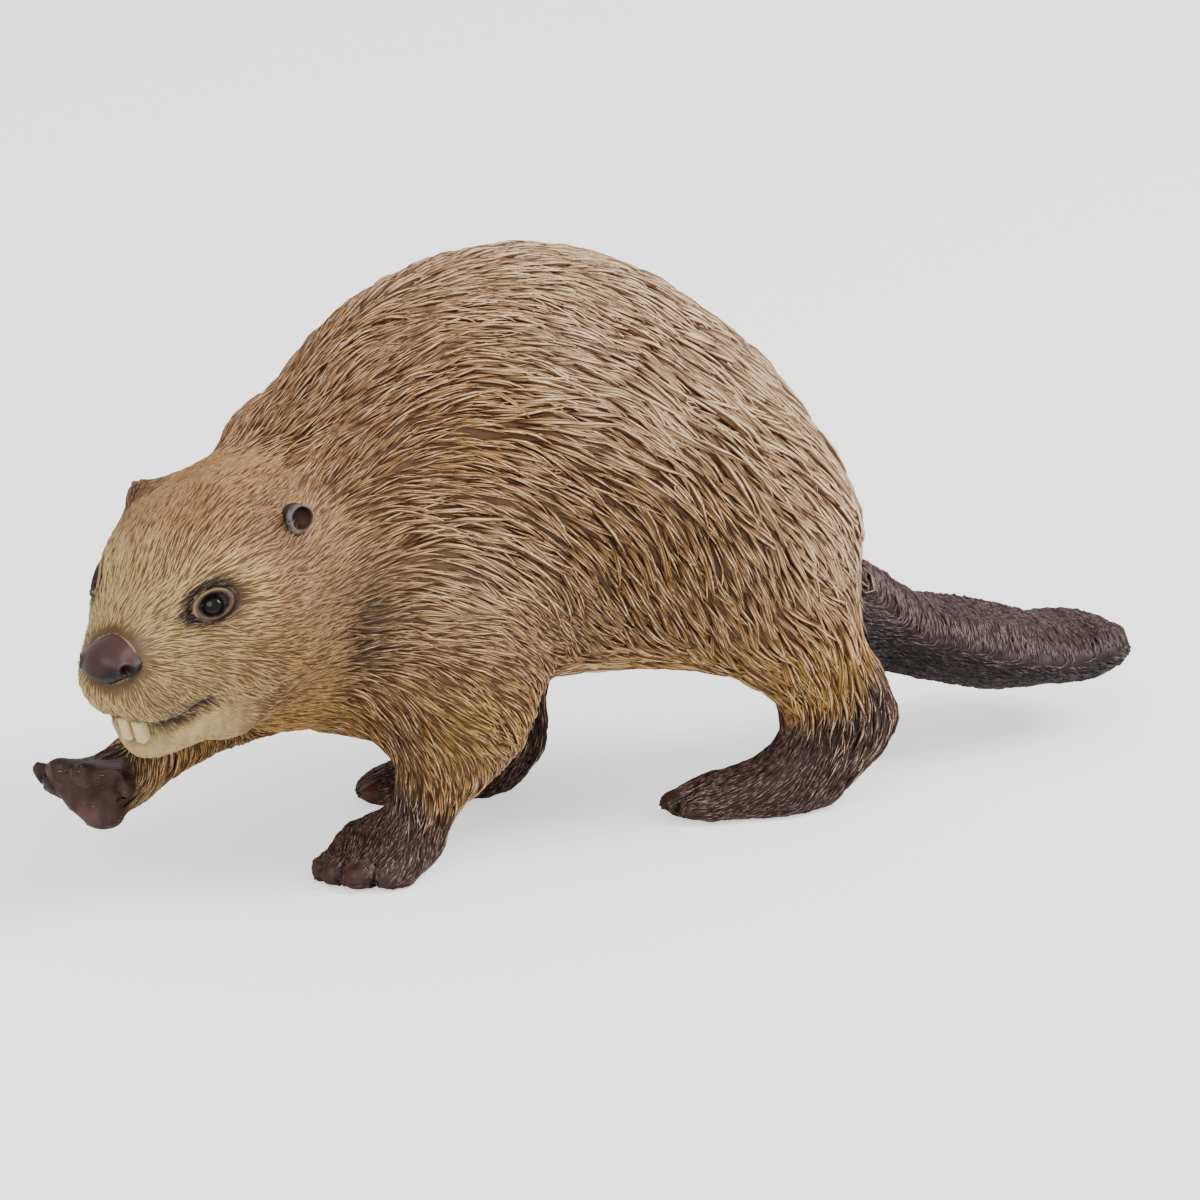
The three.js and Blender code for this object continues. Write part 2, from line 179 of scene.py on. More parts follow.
def read(items, name, width, kind=float):
    """One property of every item of a collection, as the rows of an array."""
    flat = np.empty(len(items) * width, kind)
    items.foreach_get(name, flat)
    return flat.reshape(-1, width)


def points_of(mesh):
    return read(mesh.vertices, "co", 3) / MM


def edges_of(mesh):
    return read(mesh.edges, "vertices", 2, int)


def set_points(mesh, points):
    mesh.vertices.foreach_set("co", (points * MM).ravel())
    mesh.update()


def smooth_faces(mesh):
    mesh.polygons.foreach_set("use_smooth", [True] * len(mesh.polygons))


def applied(thing):
    """The mesh of an object with its modifiers applied; the object itself is removed."""
    graph = bpy.context.evaluated_depsgraph_get()
    mesh = bpy.data.meshes.new_from_object(thing.evaluated_get(graph))
    bpy.data.objects.remove(thing)
    return mesh


def relaxed(values, edges, weight, passes):
    """Values on vertices, averaged with their neighbours again and again, as far as weight lets them."""
    count = len(values)
    a, b = edges.T
    degree = np.maximum(np.bincount(a, minlength=count) + np.bincount(b, minlength=count), 1)
    values = values.reshape(count, -1).copy()
    step = 0.6 * weight
    for _ in range(passes):
        for c in range(values.shape[1]):
            column = values[:, c]
            near = np.bincount(a, column[b], count) + np.bincount(b, column[a], count)
            column += step * (near / degree - column)
    return values


def laid_out(place, at, sizes):
    """The transform that gives a unit shape its sizes along the axes of a place, round a middle."""
    turn = Matrix([list(axis) for axis in place.axes]).transposed().to_4x4()
    size = Matrix.Diagonal([length * MM for length in sizes] + [1])
    return Matrix.Translation(Vector(at) * MM) @ turn @ size


def ellipsoid(bm, place, at, radii, detail=3):
    """An ellipsoid of the given radii along the axes of a place."""
    matrix = laid_out(place, place.world(at), radii)
    bmesh.ops.create_icosphere(bm, subdivisions=detail, radius=1, matrix=matrix)


def tell(mesh, name, kind, values):
    """Writes a named value to every vertex of a mesh."""
    attribute = mesh.attributes.new(name, kind, "POINT")
    prop = {"FLOAT": "value", "FLOAT_COLOR": "color", "FLOAT_VECTOR": "vector"}[kind]
    attribute.data.foreach_set(prop, np.ascontiguousarray(values, float).ravel())


def tell_finish(mesh, paint, relief):
    """Writes each vertex's paint, and its relief: 0 in a groove and 1 on a ridge."""
    tell(mesh, "paint", "FLOAT_COLOR", np.c_[paint, np.ones(len(paint))])
    tell(mesh, "relief", "FLOAT", relief)


# ---- the skin -------------------------------------------------------------------------------------
FLESH = ("trunk neck head lower_jaw foreleg_left foreleg_right hind_leg_left hind_leg_right "
         "forepaw_left forepaw_right hind_foot_left hind_foot_right tail").split()
SWELL = 0.24  # closes the slits between the CAD nodes
VOXEL = 0.56  # the grid on which the nodes of flesh are joined
TAIL_START = 23.5  # along X, where the tail's blade begins
TAIL_FALL = 0.24  # how far it falls for each millimetre along X
LEAN = dict(forepaw_right=0.65, forepaw_left=0.1)  # makes room for the toes on these nodes
# How far each node's facets are smoothed out, and how deep its coat is.
SMOOTHING = dict(trunk=1.0, neck=0.8, head=0.4, lower_jaw=0.3, foreleg_left=0.55, foreleg_right=0.5,
                 hind_leg_left=0.6, hind_leg_right=0.6, forepaw_left=0.06, forepaw_right=0.04,
                 hind_foot_left=0.25, hind_foot_right=0.25, tail=0.4)
COAT_DEPTH = dict(trunk=0.3, neck=0.26, head=0.12, lower_jaw=0.08, foreleg_left=0.16, foreleg_right=0.14,
                  hind_leg_left=0.26, hind_leg_right=0.22, forepaw_left=0.06, forepaw_right=0.05,
                  hind_foot_left=0.08, hind_foot_right=0.08, tail=0.12)
EYE = np.array([8.85, 5.1, -3.4])  # middle of the left eyeball, in the head's place
EYE_LOOKS = unit(np.array([0.49, 0.63, 0.6]))
EYE_AHEAD = unit(np.array([1, 0, 0]) - EYE_LOOKS[0] * EYE_LOOKS)
EYE_SLANT = math.radians(18)  # the lids' front corner lies lower than their back one
EYE_FRONT = math.cos(EYE_SLANT) * EYE_AHEAD + math.sin(EYE_SLANT) * np.cross(EYE_AHEAD, EYE_LOOKS)
EYE_TOP = np.cross(EYE_FRONT, EYE_LOOKS)
EYE_RADIUS = 1.3
NOSE = HEAD.local(middle("nose")) + (-0.35, 0.0, -0.35)
NOSE_RADII = (2.4, 2.65, 2.1)
# How far each ear stands out from its CAD node, in the head's place.
EAR_OUT = {1: (-0.1, 1.2, 0.0), -1: (0.3, -1.3, -0.1)}
PINNA = {1: ((1.0, -0.9, -0.1), (1.1, 1.1, 1.2)), -1: ((0.5, -0.4, 0.8), (1.6, 1.5, 1.6))}


def flesh_tree():
    """A search tree over the CAD nodes of flesh, with the node that each of its triangles is in."""
    corners, triangles, owner = [], [], []
    for number, name in enumerate(FLESH):
        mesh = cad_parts[name].data
        start = len(corners)
        corners += [v.co.copy() for v in mesh.vertices]
        for face in mesh.polygons:
            triangles.append([start + v for v in face.vertices])
            owner.append(number)
    return BVHTree.FromPolygons(corners, triangles), np.array(owner)


def ear_middle(side):
    return HEAD.local(middle(f"ear_{side_name(side)}")) + EAR_OUT[side]


def fill_head(bm):
    """Closes the pockets of the eyes, ears, nose and teeth, and swells the lids, lips, jaw and ears."""
    drawn = SWELL + COAT_DEPTH["head"]

    def lump(at, radii):
        ellipsoid(bm, HEAD, at, [r + drawn for r in radii])

    for side in SIDES:
        lump(mirrored((9.15, 5.1, -3.05), side), [1.65] * 3)
        lump(mirrored(EYE, side), [1.5] * 3)
        lump(mirrored((7.4, 4.9, -1.9), side), (2.6, 1.1, 0.8))
        ear = ear_middle(side)
        lump(ear + mirrored((0.3, -2.3, -0.4), side), (1.9, 1.7, 1.6))
        at, radii = PINNA[side]
        lump(ear + mirrored(at, side), radii)
        lump(mirrored((14.9, 2.2, -8.0), side), (2.8, 2.3, 2.7))
        lump(mirrored((11.2, 2.6, -13.0), side), (4.3, 2.4, 1.8))
        lump(mirrored((7.5, 2.8, -14.8), side), (4.0, 3.4, 2.1))
    lump((0.5, -4.6, -1.5), (4.0, 3.4, 2.6))
    lump(NOSE - (0.8, -0.1, 0.1), (1.8, 1.9, 1.4))
    lump((13.7, 0.2, -13.0), (2.3, 2.5, 1.6))
    ellipsoid(bm, BODY, (-29.3, 1.5, 36.2), (4.8, 5.2, 3.9))
    ellipsoid(bm, BODY, (-31.3, -4.4, 15.9), (5.0, 4.2, 3.1))


# The toes and pads of the paws and feet: a middle and radii in the place of each.
TOES = (
    (LEFT_PAW, (4.4, -3.7, 1.1), (1.6, 0.85, 1.2)),
    (LEFT_PAW, (4.8, -2.2, 1.2), (1.7, 0.95, 1.35)),
    (LEFT_PAW, (4.7, 0.0, 1.2), (1.8, 1.25, 1.4)),
    (LEFT_PAW, (3.6, 2.4, 1.1), (1.6, 1.1, 1.25)),
    (RIGHT_PAW, (3.0, -3.9, 2.6), (1.3, 0.7, 0.9)),
    (RIGHT_PAW, (3.5, -1.6, 2.0), (1.6, 1.15, 1.2)),
    (RIGHT_PAW, (3.8, 1.0, 0.9), (1.6, 1.0, 1.15)),
    (RIGHT_PAW, (2.4, -3.1, 1.4), (1.3, 0.7, 0.8)),
    (RIGHT_PAW, (2.0, 3.8, 0.1), (1.1, 0.75, 1.15)),
    (RIGHT_PAW, (-0.3, 0.3, -0.7), (1.8, 2.0, 1.3)),
    (RIGHT_FOOT, (6.4, 1.4, 1.4), (2.0, 1.3, 1.25)),
    (RIGHT_FOOT, (6.0, -0.9, 1.3), (1.9, 1.1, 1.15)),
    (LEFT_FOOT, (6.7, 0.2, 1.5), (2.1, 1.1, 1.2)),
    (LEFT_FOOT, (5.2, 2.0, 1.3), (1.7, 1.1, 1.15)),
)
# The soles and heels that fill the feet out.
HEELS = (
    (LEFT_FOOT, (-5.4, 0.8, 2.3), (2.9, 2.0, 2.2)),
    (LEFT_FOOT, (-1.2, 1.6, 1.1), (4.8, 1.7, 1.1)),
    (RIGHT_PAW, (1.4, -0.7, 0.0), (1.8, 1.6, 1.2)),
)


def in_box(points):
    """Points kept inside the box of the CAD, and off the floor."""
    low, high = (np.array(corner) / MM for corner in cad_bounds)
    return np.clip(points, low, high)


def fill_paws(bm):
    for place, at, radii in TOES + HEELS:
        ellipsoid(bm, place, at, [r + SWELL + 0.05 for r in radii])


def nail_plates(points):
    """1 on the dark nails of the raised paw, and 0 away from them."""
    nails = np.zeros(len(points))
    for place, at, radii in TOES:
        if place is RIGHT_PAW and at[0] > 1:
            q = (place.local(points) - at) / radii
            lift = q[:, 2] + 0.4 * q[:, 0]
            plate = 1 - ease(np.linalg.norm(q, axis=1), 1.1, 1.25)
            nails = np.maximum(nails, plate * ease(lift, 0.25, 0.5))
    return nails


def between_toes(points):
    """1 in the crease where two toes of one paw meet, and 0 away from it."""
    crease = np.zeros(len(points))
    for place in (LEFT_PAW, RIGHT_PAW, LEFT_FOOT, RIGHT_FOOT):
        toes = [toe for toe in TOES if toe[0] is place]
        local = place.local(points)
        away = np.sort([away_from(local, at, radii) for _, at, radii in toes], axis=0)
        crease = np.maximum(crease, bell(away[1] - away[0], 0.16) * (1 - ease(away[0], 1.25, 1.6)))
    return crease


def rough_skin():
    """The CAD nodes of flesh, swollen until they meet, as one mesh of even quads."""
    bm = bmesh.new()
    for name in FLESH:
        part = bmesh.new()
        part.from_mesh(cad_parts[name].data)
        bmesh.ops.remove_doubles(part, verts=part.verts, dist=SAME_PLACE)
        part.normal_update()
        for vert in part.verts:
            vert.co += vert.normal * (SWELL - LEAN.get(name, 0)) * MM
        mesh = as_mesh(part, name)
        bm.from_mesh(mesh)
        bpy.data.meshes.remove(mesh)
    fill_head(bm)
    fill_paws(bm)
    thing = add_object("rough_skin", as_mesh(bm, "rough_skin"))
    remesh = thing.modifiers.new("even", "REMESH")
    remesh.mode = "VOXEL"
    remesh.voxel_size = VOXEL * MM
    return applied(thing)


def from_nodes(table, owner):
    return np.array([table[name] for name in FLESH])[owner]


def eye_coordinates(local, side):
    """How far each point lies in front of, above and out of an eye's middle."""
    away = local * (1, side, 1) - EYE
    return away @ EYE_FRONT, away @ EYE_TOP, away @ EYE_LOOKS


def near_line(points, line):
    """The distance from points to a line through a few given points, and how far along it they are."""
    line = np.array(line, float)
    best = np.full(len(points), np.inf)
    along = np.zeros(len(points))
    for i, (a, b) in enumerate(zip(line[:-1], line[1:])):
        t = np.clip((points - a) @ (b - a) / max((b - a) @ (b - a), 1e-9), 0, 1)
        away = np.linalg.norm(points - a - t[:, None] * (b - a), axis=1)
        along = np.where(away < best, (i + t) / (len(line) - 1), along)
        best = np.minimum(best, away)
    return best, along


MOUTH = [(17.2, 1.2, -10.3), (16.2, 2.9, -10.8), (14.4, 4.3, -10.8), (12.3, 5.2, -10.5), (11.6, 5.6, -10.4)]
PHILTRUM = [(19.2, 0, -6.0), (18.2, 0, -8.0), (17.4, 0, -10.2)]
# The edges of the nail plates, and the seams between the toes of the left hind foot.
NAILS = (
    (LEFT_PAW, [(5.6, -4.6, 1.6), (4.9, -3.4, 2.3), (5.4, -2.9, 1.6)]),
    (LEFT_PAW, [(5.5, -2.9, 1.9), (4.9, -2.2, 2.7), (5.3, -1.3, 2.2), (5.9, -1.1, 1.4)]),
    (LEFT_PAW, [(5.8, -0.9, 1.9), (4.9, -0.3, 2.8), (4.6, 0.7, 2.5), (4.6, 1.4, 1.5)]),
    (LEFT_PAW, [(4.7, 1.9, 1.2), (4.1, 2.3, 2.0), (3.2, 3.0, 2.0)]),
    (LEFT_FOOT, [(6.8, 2.2, 0.8), (6.6, 1.5, 2.0), (6.3, 0.4, 2.9)]),
    (LEFT_FOOT, [(6.4, 2.5, 1.2), (6.0, 2.3, 2.2), (5.0, 2.2, 2.8), (4.3, 2.5, 2.5), (4.2, 3.1, 1.2)]),
    (LEFT_FOOT, [(6.1, 0.8, 2.9), (3.8, 0.9, 3.9), (1.8, 1.1, 4.4)]),
    (RIGHT_PAW, [(4.4, -2.6, 2.3), (3.9, -2.5, 1.4), (3.4, -1.7, 0.9)]),
    (RIGHT_PAW, [(4.9, 0.0, 1.4), (4.3, 0.1, 0.3), (3.7, 0.9, -0.3), (3.6, 1.6, -0.1)]),
    (RIGHT_PAW, [(1.4, 4.7, 0.6), (1.2, 4.6, -0.3), (1.3, 3.7, -1.1)]),
    (RIGHT_PAW, [(2.8, -3.3, 1.4), (2.3, -3.1, 0.8), (1.9, -2.4, 0.5)]),
)


def lids_at(front, top):
    """A measure that is small in the middle of an eye and grows across its lids; it is 1.35 on their rim."""
    return np.sqrt(((front + 0.1) / 1.14) ** 2 + ((top - 0.05) / 0.76) ** 2)


def head_relief(local):
    """How far the head's surface moves out along its normal: lids, lips, mouth and philtrum."""
    move = np.zeros(len(local))
    for side in SIDES:
        front, top, out = eye_coordinates(local, side)
        lids, ball = lids_at(front, top), np.hypot(front, top)
        edge = 0.22 * bell(lids - 1.35, 0.22) - 0.2 * bell(lids - 1.9, 0.3)
        brow = 0.35 * bell(lids - 2.9, 0.7) * ease(top + 0.3 * front, 0.2, 1.6)
        pocket = -1.2 * (1 - ease(ball, 0.78, 0.98)) - 0.25 * (1 - ease(lids, 0.95, 1.15))
        move += np.where((out > -1.2) & (lids < 6), edge + brow + pocket, 0)
        away, along = near_line(local * (1, side, 1), MOUTH)
        move -= 0.75 * bell(away, 0.45) * (1 - 0.5 * ease(along, 0.7, 1))
        below = local[:, 2] < -10.6
        move += np.where(below, -0.12, 0.2) * bell(away - 0.9, 0.45)
    move -= 0.9 * bell(away_from(local, (0.5, -4.4, 2.2)), 3.4)
    away, _ = near_line(local, PHILTRUM)
    return move - 0.5 * bell(away, 0.32)


def drawn_on(points, place, line):
    """A line through a place's points, laid on the surface that the points are on."""
    laid = []
    for a, b in zip(line[:-1], line[1:]):
        for t in np.linspace(0, 1, 5):
            wanted = place.world(np.array(a) * (1 - t) + np.array(b) * t)
            laid.append(points[np.argmin(away_from(points, wanted))])
    return laid


def nail_edges(points):
    """The distance of points of the skin from the nearest nail edge or seam."""
    best = np.full(len(points), 9.0)
    for place, line in NAILS:
        away, _ = near_line(points, drawn_on(points, place, line))
        best = np.minimum(best, away)
    return best


def refined(mesh, chosen):
    """The mesh with each edge between two chosen vertices cut in half, and its faces with it."""
    bm = bmesh.new()
    bm.from_mesh(mesh)
    picked = [edge for edge in bm.edges if chosen[edge.verts[0].index] and chosen[edge.verts[1].index]]
    bmesh.ops.subdivide_edges(bm, edges=picked, cuts=1, use_grid_fill=True)
    bm.to_mesh(mesh)
    bm.free()


def round_off(mesh, owner):
    """Smooths the facets away, and draws the skin in by the depth of the coat."""
    points, edges = points_of(mesh), edges_of(mesh)
    tables = np.stack([from_nodes(SMOOTHING, owner), from_nodes(COAT_DEPTH, owner)], 1)
    smoothing, depth = relaxed(tables, edges, 1.0, 30).T
    rounded = relaxed(points, edges, smoothing, 100)
    points = rounded + relaxed(points - rounded, edges, smoothing, 100)
    set_points(mesh, points)
    set_points(mesh, points - read(mesh.vertex_normals, "vector", 3) * (SWELL + depth)[:, None])


def refine_details(mesh, owner):
    """Makes the mesh finer on the head, paws and feet, and finer again round the eyes."""
    local = HEAD.local(points_of(mesh))
    in_head = (local[:, 0] > -2.5) & (np.abs(local[:, 1]) < 10) & (np.abs(local[:, 2] + 6) < 10.5)
    small = np.isin(owner, [i for i, name in enumerate(FLESH) if "paw" in name or "foot" in name])
    refined(mesh, in_head | small)
    for reach in (3.4, 2.3):
        local = HEAD.local(points_of(mesh))
        fine = np.zeros(len(local), bool)
        for side in SIDES:
            front, top, out = eye_coordinates(local, side)
            fine |= (lids_at(front, top) < reach) & (out > -1)
        refined(mesh, fine)


def shape_tail(points):
    """Flattens the tail's back and lifts its tip from below, in place; its rim stays where it is."""
    x, _, z = points.T
    off = np.clip((z - middle("tail")[2] + TAIL_FALL * (x - middle("tail")[0])) / 0.8, -1, 1)
    down = -0.8 * ease(x, 27, 33) - 1.1 * bell(x - 47.5, 3.6)
    up = 1.2 * ease(x, 44, 51) - 0.45 * bell(x - 38, 6)
    z += np.where(off > 0, down * off, -up * off) * ease(x, 24, 28)


def make_skin():
    """The skin, with the number of the CAD node that each of its vertices is nearest to."""
    mesh = rough_skin()
    tree, face_owner = flesh_tree()

    def owners(points):
        return face_owner[[tree.find_nearest(Vector(p) * MM)[2] for p in points]]

    owner = owners(points_of(mesh))
    round_off(mesh, owner)
    refine_details(mesh, owner)
    points, edges = points_of(mesh), edges_of(mesh)
    local = HEAD.local(points)
    weight = ease(local[:, 0], -5, -3) * ease(-local[:, 2], -30, -29)
    points = relaxed(points, edges, 0.8 * weight, 3)
    set_points(mesh, points)
    move = weight * head_relief(HEAD.local(points))
    edge = nail_edges(points)
    move += 0.1 * bell(edge, 0.12) - 0.1 * bell(edge - 0.28, 0.14) - 0.55 * between_toes(points)
    points = points + read(mesh.vertex_normals, "vector", 3) * move[:, None]
    points = relaxed(points, edges, 0.35 * weight, 2)
    shape_tail(points)
    set_points(mesh, in_box(points))
    smooth_faces(mesh)
    return mesh, owners(points)


# ---- the lie of the coat --------------------------------------------------------------------------
# Where the coat points, at places on the toy's left side: a place and a direction. They hold for both sides.
BODY_LIE = [
    ((-25, -5, 42), (0.67, -0.75, 0.67)), ((-26, -6, 41), (1, -0.1, 0.95)), ((-25, -9, 39), (1, -0.2, 0.6)),
    ((-29, -9, 36), (1, 0, 0.95)), ((-30, -9, 34), (0.45, -0.1, 0.8)), ((-31, -5, 35), (1, -0.2, 0.3)),
    ((-21, -10, 42), (1, -0.2, 0.3)), ((-17, -6, 46), (1, -0.25, 0.35)), ((-11, 0, 48), (1, 0, 0.1)),
    ((-24, 0, 43), (0.7, 0, 0.7)), ((-19, -3, 47), (0.7, -0.5, 0.4)), ((-14, -3, 49), (0.8, -0.6, 0.2)),
    ((-14, -9, 45), (1, -0.15, -0.15)), ((-10, -7, 46), (1, -0.4, -0.2)), ((-8, -3, 49), (1, -0.2, 0)),
    ((-23, -13, 38), (1, 0, 0.05)), ((-16, -13, 39), (1, 0, -0.23)), ((-25, -13, 33), (1, 0, 0.2)),
    ((-19, -15, 32), (1, 0, -0.23)), ((-16, -15, 30), (1, 0, -0.75)), ((-23, -14, 29), (1, 0, -0.07)),
    ((-4, -8, 46), (1, -0.4, -0.5)), ((1, -8, 43), (1, -0.2, -0.8)), ((11, -3, 39), (1, 0, -0.93)),
    ((3, 0, 47), (1, 0, -0.35)), ((-8, -12, 42), (1, 0, -0.4)), ((-1, -13, 37), (1, 0, -1.0)),
    ((7, -10, 34), (1, 0, -1.1)), ((15, -4, 34), (1, 0, -1.25)), ((17, -5, 27), (1, 0, -1.2)),
    ((9, -11, 28), (1, 0, -1.35)), ((-10, -15, 36), (1, 0, -0.53)), ((-8, -15, 31), (1, 0, -0.93)),
    ((0, -14, 26), (1, 0, -1.75)), ((12, -10, 24), (1, 0, -0.85)), ((18, -6, 24), (1, 0, -0.7)),
    ((19, -6, 19), (1, 0, -0.95)), ((6, -13, 22), (1, 0, -2.1)), ((-9, -14, 24), (1, 0, -1.25)),
    ((-2, -14, 22), (1, 0, -1.65)), ((-17, -15, 28), (1, 0, -0.65)), ((-14, -15, 27), (1, 0, -0.93)),
    ((-20, -14, 24), (1, 0, -0.23)), ((-15, -13, 20), (1, 0, -0.45)), ((-11, -13, 21), (1, 0, -1.5)),
    ((-21, -12, 18), (1, 0, -0.23)), ((-17, -12, 17), (1, 0, -1.1)), ((-25, -8, 15), (1, 0, -0.9)),
    ((-28, -5, 14), (1, 0, -0.4)), ((-34, -11, 32), (1, 0, 0.55)), ((-31, -12, 30), (1, 0, 0.5)),
    ((-28, -12, 32), (1, 0, 0.28)), ((-28, -11, 24), (1, 0, 0.3)), ((-29, -10, 20), (1, 0, 0.1)),
    ((-12, -9, 14), (1, 0, -0.5)), ((0, -8, 14), (0.85, -0.1, -0.5)), ((8, -9, 15), (0.7, 0, -0.8)),
    ((14, -12, 20), (0.6, 0, -0.8)), ((15, -11, 15), (0.5, 0, -0.86)), ((18, -9, 11), (0.45, 0, -0.9)),
    ((-20, 0, 11), (0.95, 0, -0.1)), ((5, 0, 13.5), (1, 0, 0)), ((21, -2, 22), (0.75, 0, -0.66)),
]
# The same on single limbs, where the two sides differ.
LIMB_LIE = [
    ((-22, -11, 14), (0.6, 0, -0.6)), ((-23, -10, 11), (0.2, 0, -1)), ((-21, -10, 8), (0.05, 0, -1)),
    ((-15, -11, 12), (0.6, 0, -0.8)), ((-17, -10, 7), (0.3, 0, -1)), ((-20, -9, 4), (-0.2, 0, -1)),
    ((-22, -8, 5), (-0.6, -0.35, -0.7)), ((-25, -9, 3), (-0.85, -0.5, -0.2)), ((21, -9, 8), (-0.05, 0, -1)),
    ((19, -10, 5), (-0.6, 0, -0.8)), ((15, -10, 6), (-0.3, 0, -1)), ((12, -9, 4), (-0.95, 0, -0.3)),
    ((6, -8, 2), (-1, 0, -0.2)), ((-28, 7, 17), (-0.1, 0, -1)), ((-34, 6, 12), (0.15, 0, -1)),
    ((-40, 6, 9), (-0.1, 0, -1)), ((-45, 5, 8), (-0.8, -0.3, 0.3)), ((-3, 9, 14), (-0.1, 0, -1)),
    ((-4, 9, 8), (0, 0, -1)), ((-7, 9, 4), (-0.8, 0, -0.6)), ((-14, 9, 2), (-1, 0, -0.2)),
    ((28, -4, 12), (1, 0, -0.3)), ((40, 0, 9), (1, 0, -0.24)),
]
# The same in the head's place: forward, left and up.
HEAD_LIE = [
    ((14, 0, -1.5), (-0.8, 0, 1)), ((12, 3, -2), (-0.8, 0.15, 1)), ((8, 0, 1), (-0.9, 0, 0.55)),
    ((6, 4, 0.5), (-0.95, 0.1, 0.35)), ((1, 0, 3), (-1, 0, 0.1)), ((0, 5, 2), (-1, 0.1, 0.15)),
    ((-5, 0, 2.5), (-1, 0, 0.1)), ((-4, 6, 1), (-0.9, 0, 0.45)), ((-1, 8.5, 1.5), (-0.9, 0, 0.35)),
    ((6, 6, -0.5), (-1, 0.1, 0)), ((12.5, 4.5, -4), (-0.8, 0.4, 0.1)), ((6, 7.5, -3), (-1, 0.15, -0.4)),
    ((2, 8.5, -4), (-1, 0, -0.15)), ((11, 6, -6), (-1, 0.3, -1.1)), ((9, 7, -6.5), (-1, 0.25, -1)),
    ((7, 8, -7), (-1, 0.1, -0.77)), ((2, 9, -7), (-1, 0, -0.4)), ((2, 9, -10), (-1, 0, -0.5)),
    ((15.5, 4, -6.5), (-0.6, 0.35, -0.9)), ((13, 5, -6.5), (-0.8, 0.35, -1.1)),
    ((13.5, 5.2, -8.5), (-0.55, 0.2, -1)),
    ((17.5, 2.5, -8.5), (-0.15, 0.12, -1)), ((18, 0.8, -8), (0, 0.1, -1)),
    ((10, 6.5, -9.5), (-0.9, 0.1, -1)),
    ((6, 7.5, -12), (-1, 0, -0.65)), ((0, 8, -12), (-1, 0, -0.3)), ((14, 2.5, -14), (-1, 0.1, -0.1)),
    ((8, 0, -15), (-1, 0, 0)), ((0, 0, -15), (-1, 0, 0)), ((-5, 9, -5), (-1, 0, 0.1)),
]
REACH = 3.6  # how far a guide is felt


def both_sides(guides):
    """The guides of the left side with their mirror images; those on the middle plane are given once."""
    pairs = [(guide, side) for guide in guides for side in (SIDES if guide[0][1] else (1,))]
    return [(mirrored(at, side), mirrored(way, side)) for (at, way), side in pairs]


def lie_of(points, normals):
    """The unit direction in which the coat lies at each point of the skin."""
    guides = both_sides(BODY_LIE) + [(np.array(at, float), np.array(way, float)) for at, way in LIMB_LIE]
    guides += [(HEAD.world(at), HEAD.turned(way)) for at, way in both_sides(HEAD_LIE)]
    total = np.zeros_like(points)
    for at, way in guides:
        away = away_from(points, at)
        pull = np.exp(-((away / REACH) ** 2)) + 0.01 / (1 + (away / REACH) ** 4)
        total += pull[:, None] * unit(way)
    total -= normals * np.sum(total * normals, 1, keepdims=True)
    return unit(total)


# ---- paint ----------------------------------------------------------------------------------------
def linear(red, green, blue):
    """A paint on the usual 0 to 255 scale, as the linear values that Blender takes."""
    channels = [((v / 255 + 0.055) / 1.055) ** 2.4 if v > 10 else v / 3294.6 for v in (red, green, blue)]
    return np.array(channels)


TAN = linear(172, 130, 86)
OCHRE = linear(172, 127, 60)
RUSSET = linear(168, 121, 77)
BLUSH = linear(212, 178, 142)
CREAM = linear(204, 175, 116)
PALE = linear(204, 176, 118)
UMBER = linear(78, 50, 40)
SMOKE = linear(76, 54, 53)
PLUM = linear(44, 24, 26)


def ripple(points, scale, seed):
    """A soft, repeatable unevenness between -1 and 1, with bumps about scale millimetres across."""
    draw = np.random.default_rng(seed)
    total = np.zeros(len(points))
    for _ in range(6):
        wave = draw.normal(size=3)
        total += np.sin(points @ (wave / scale * 2.2) + draw.uniform(0, 6.3))
    return total / 4


def dark_share(points, owner):
    """1 on the dark paint of paws, feet and tail, 0 on the coat, and a fade between."""
    x, _, z = points.T
    names = np.array(FLESH)[owner]
    z_line = z + 0.9 * ripple(points, 1.5, 3)
    left_fore = 1 - ease(z_line - 0.75 * (-18.5 - x), 3.5, 8.0)
    right_fore = ease(-x + 0.6 * ripple(points, 1.2, 4), 39.5, 42.5)
    left_hind = 1 - ease(z_line - 0.55 * np.clip(x - 14, -2, 7), 6.5, 9.5)
    right_hind = 1 - ease(z_line, 9.5, 12.5)
    edge = x + 0.8 * ripple(points, 1.5, 5)
    tail = ease(edge, 20.5, 24.0)
    rump = ease(edge, 21.5, 23.5) * (1 - ease(z, 18, 21))
    share = np.zeros(len(points))
    for part, amount in (
        (("foreleg_left", "forepaw_left"), left_fore),
        (("foreleg_right", "forepaw_right"), right_fore),
        (("hind_leg_left", "hind_foot_left"), left_hind),
        (("hind_leg_right", "hind_foot_right"), right_hind),
        (("tail",), tail),
        (("trunk",), rump),
    ):
        share = np.where(np.isin(names, part), amount, share)
    return np.clip(share, 0, 1)


def layered(under, colour, share):
    """Paint with another colour over it, as far as share covers each point."""
    return under * (1 - share[:, None]) + colour * share[:, None]


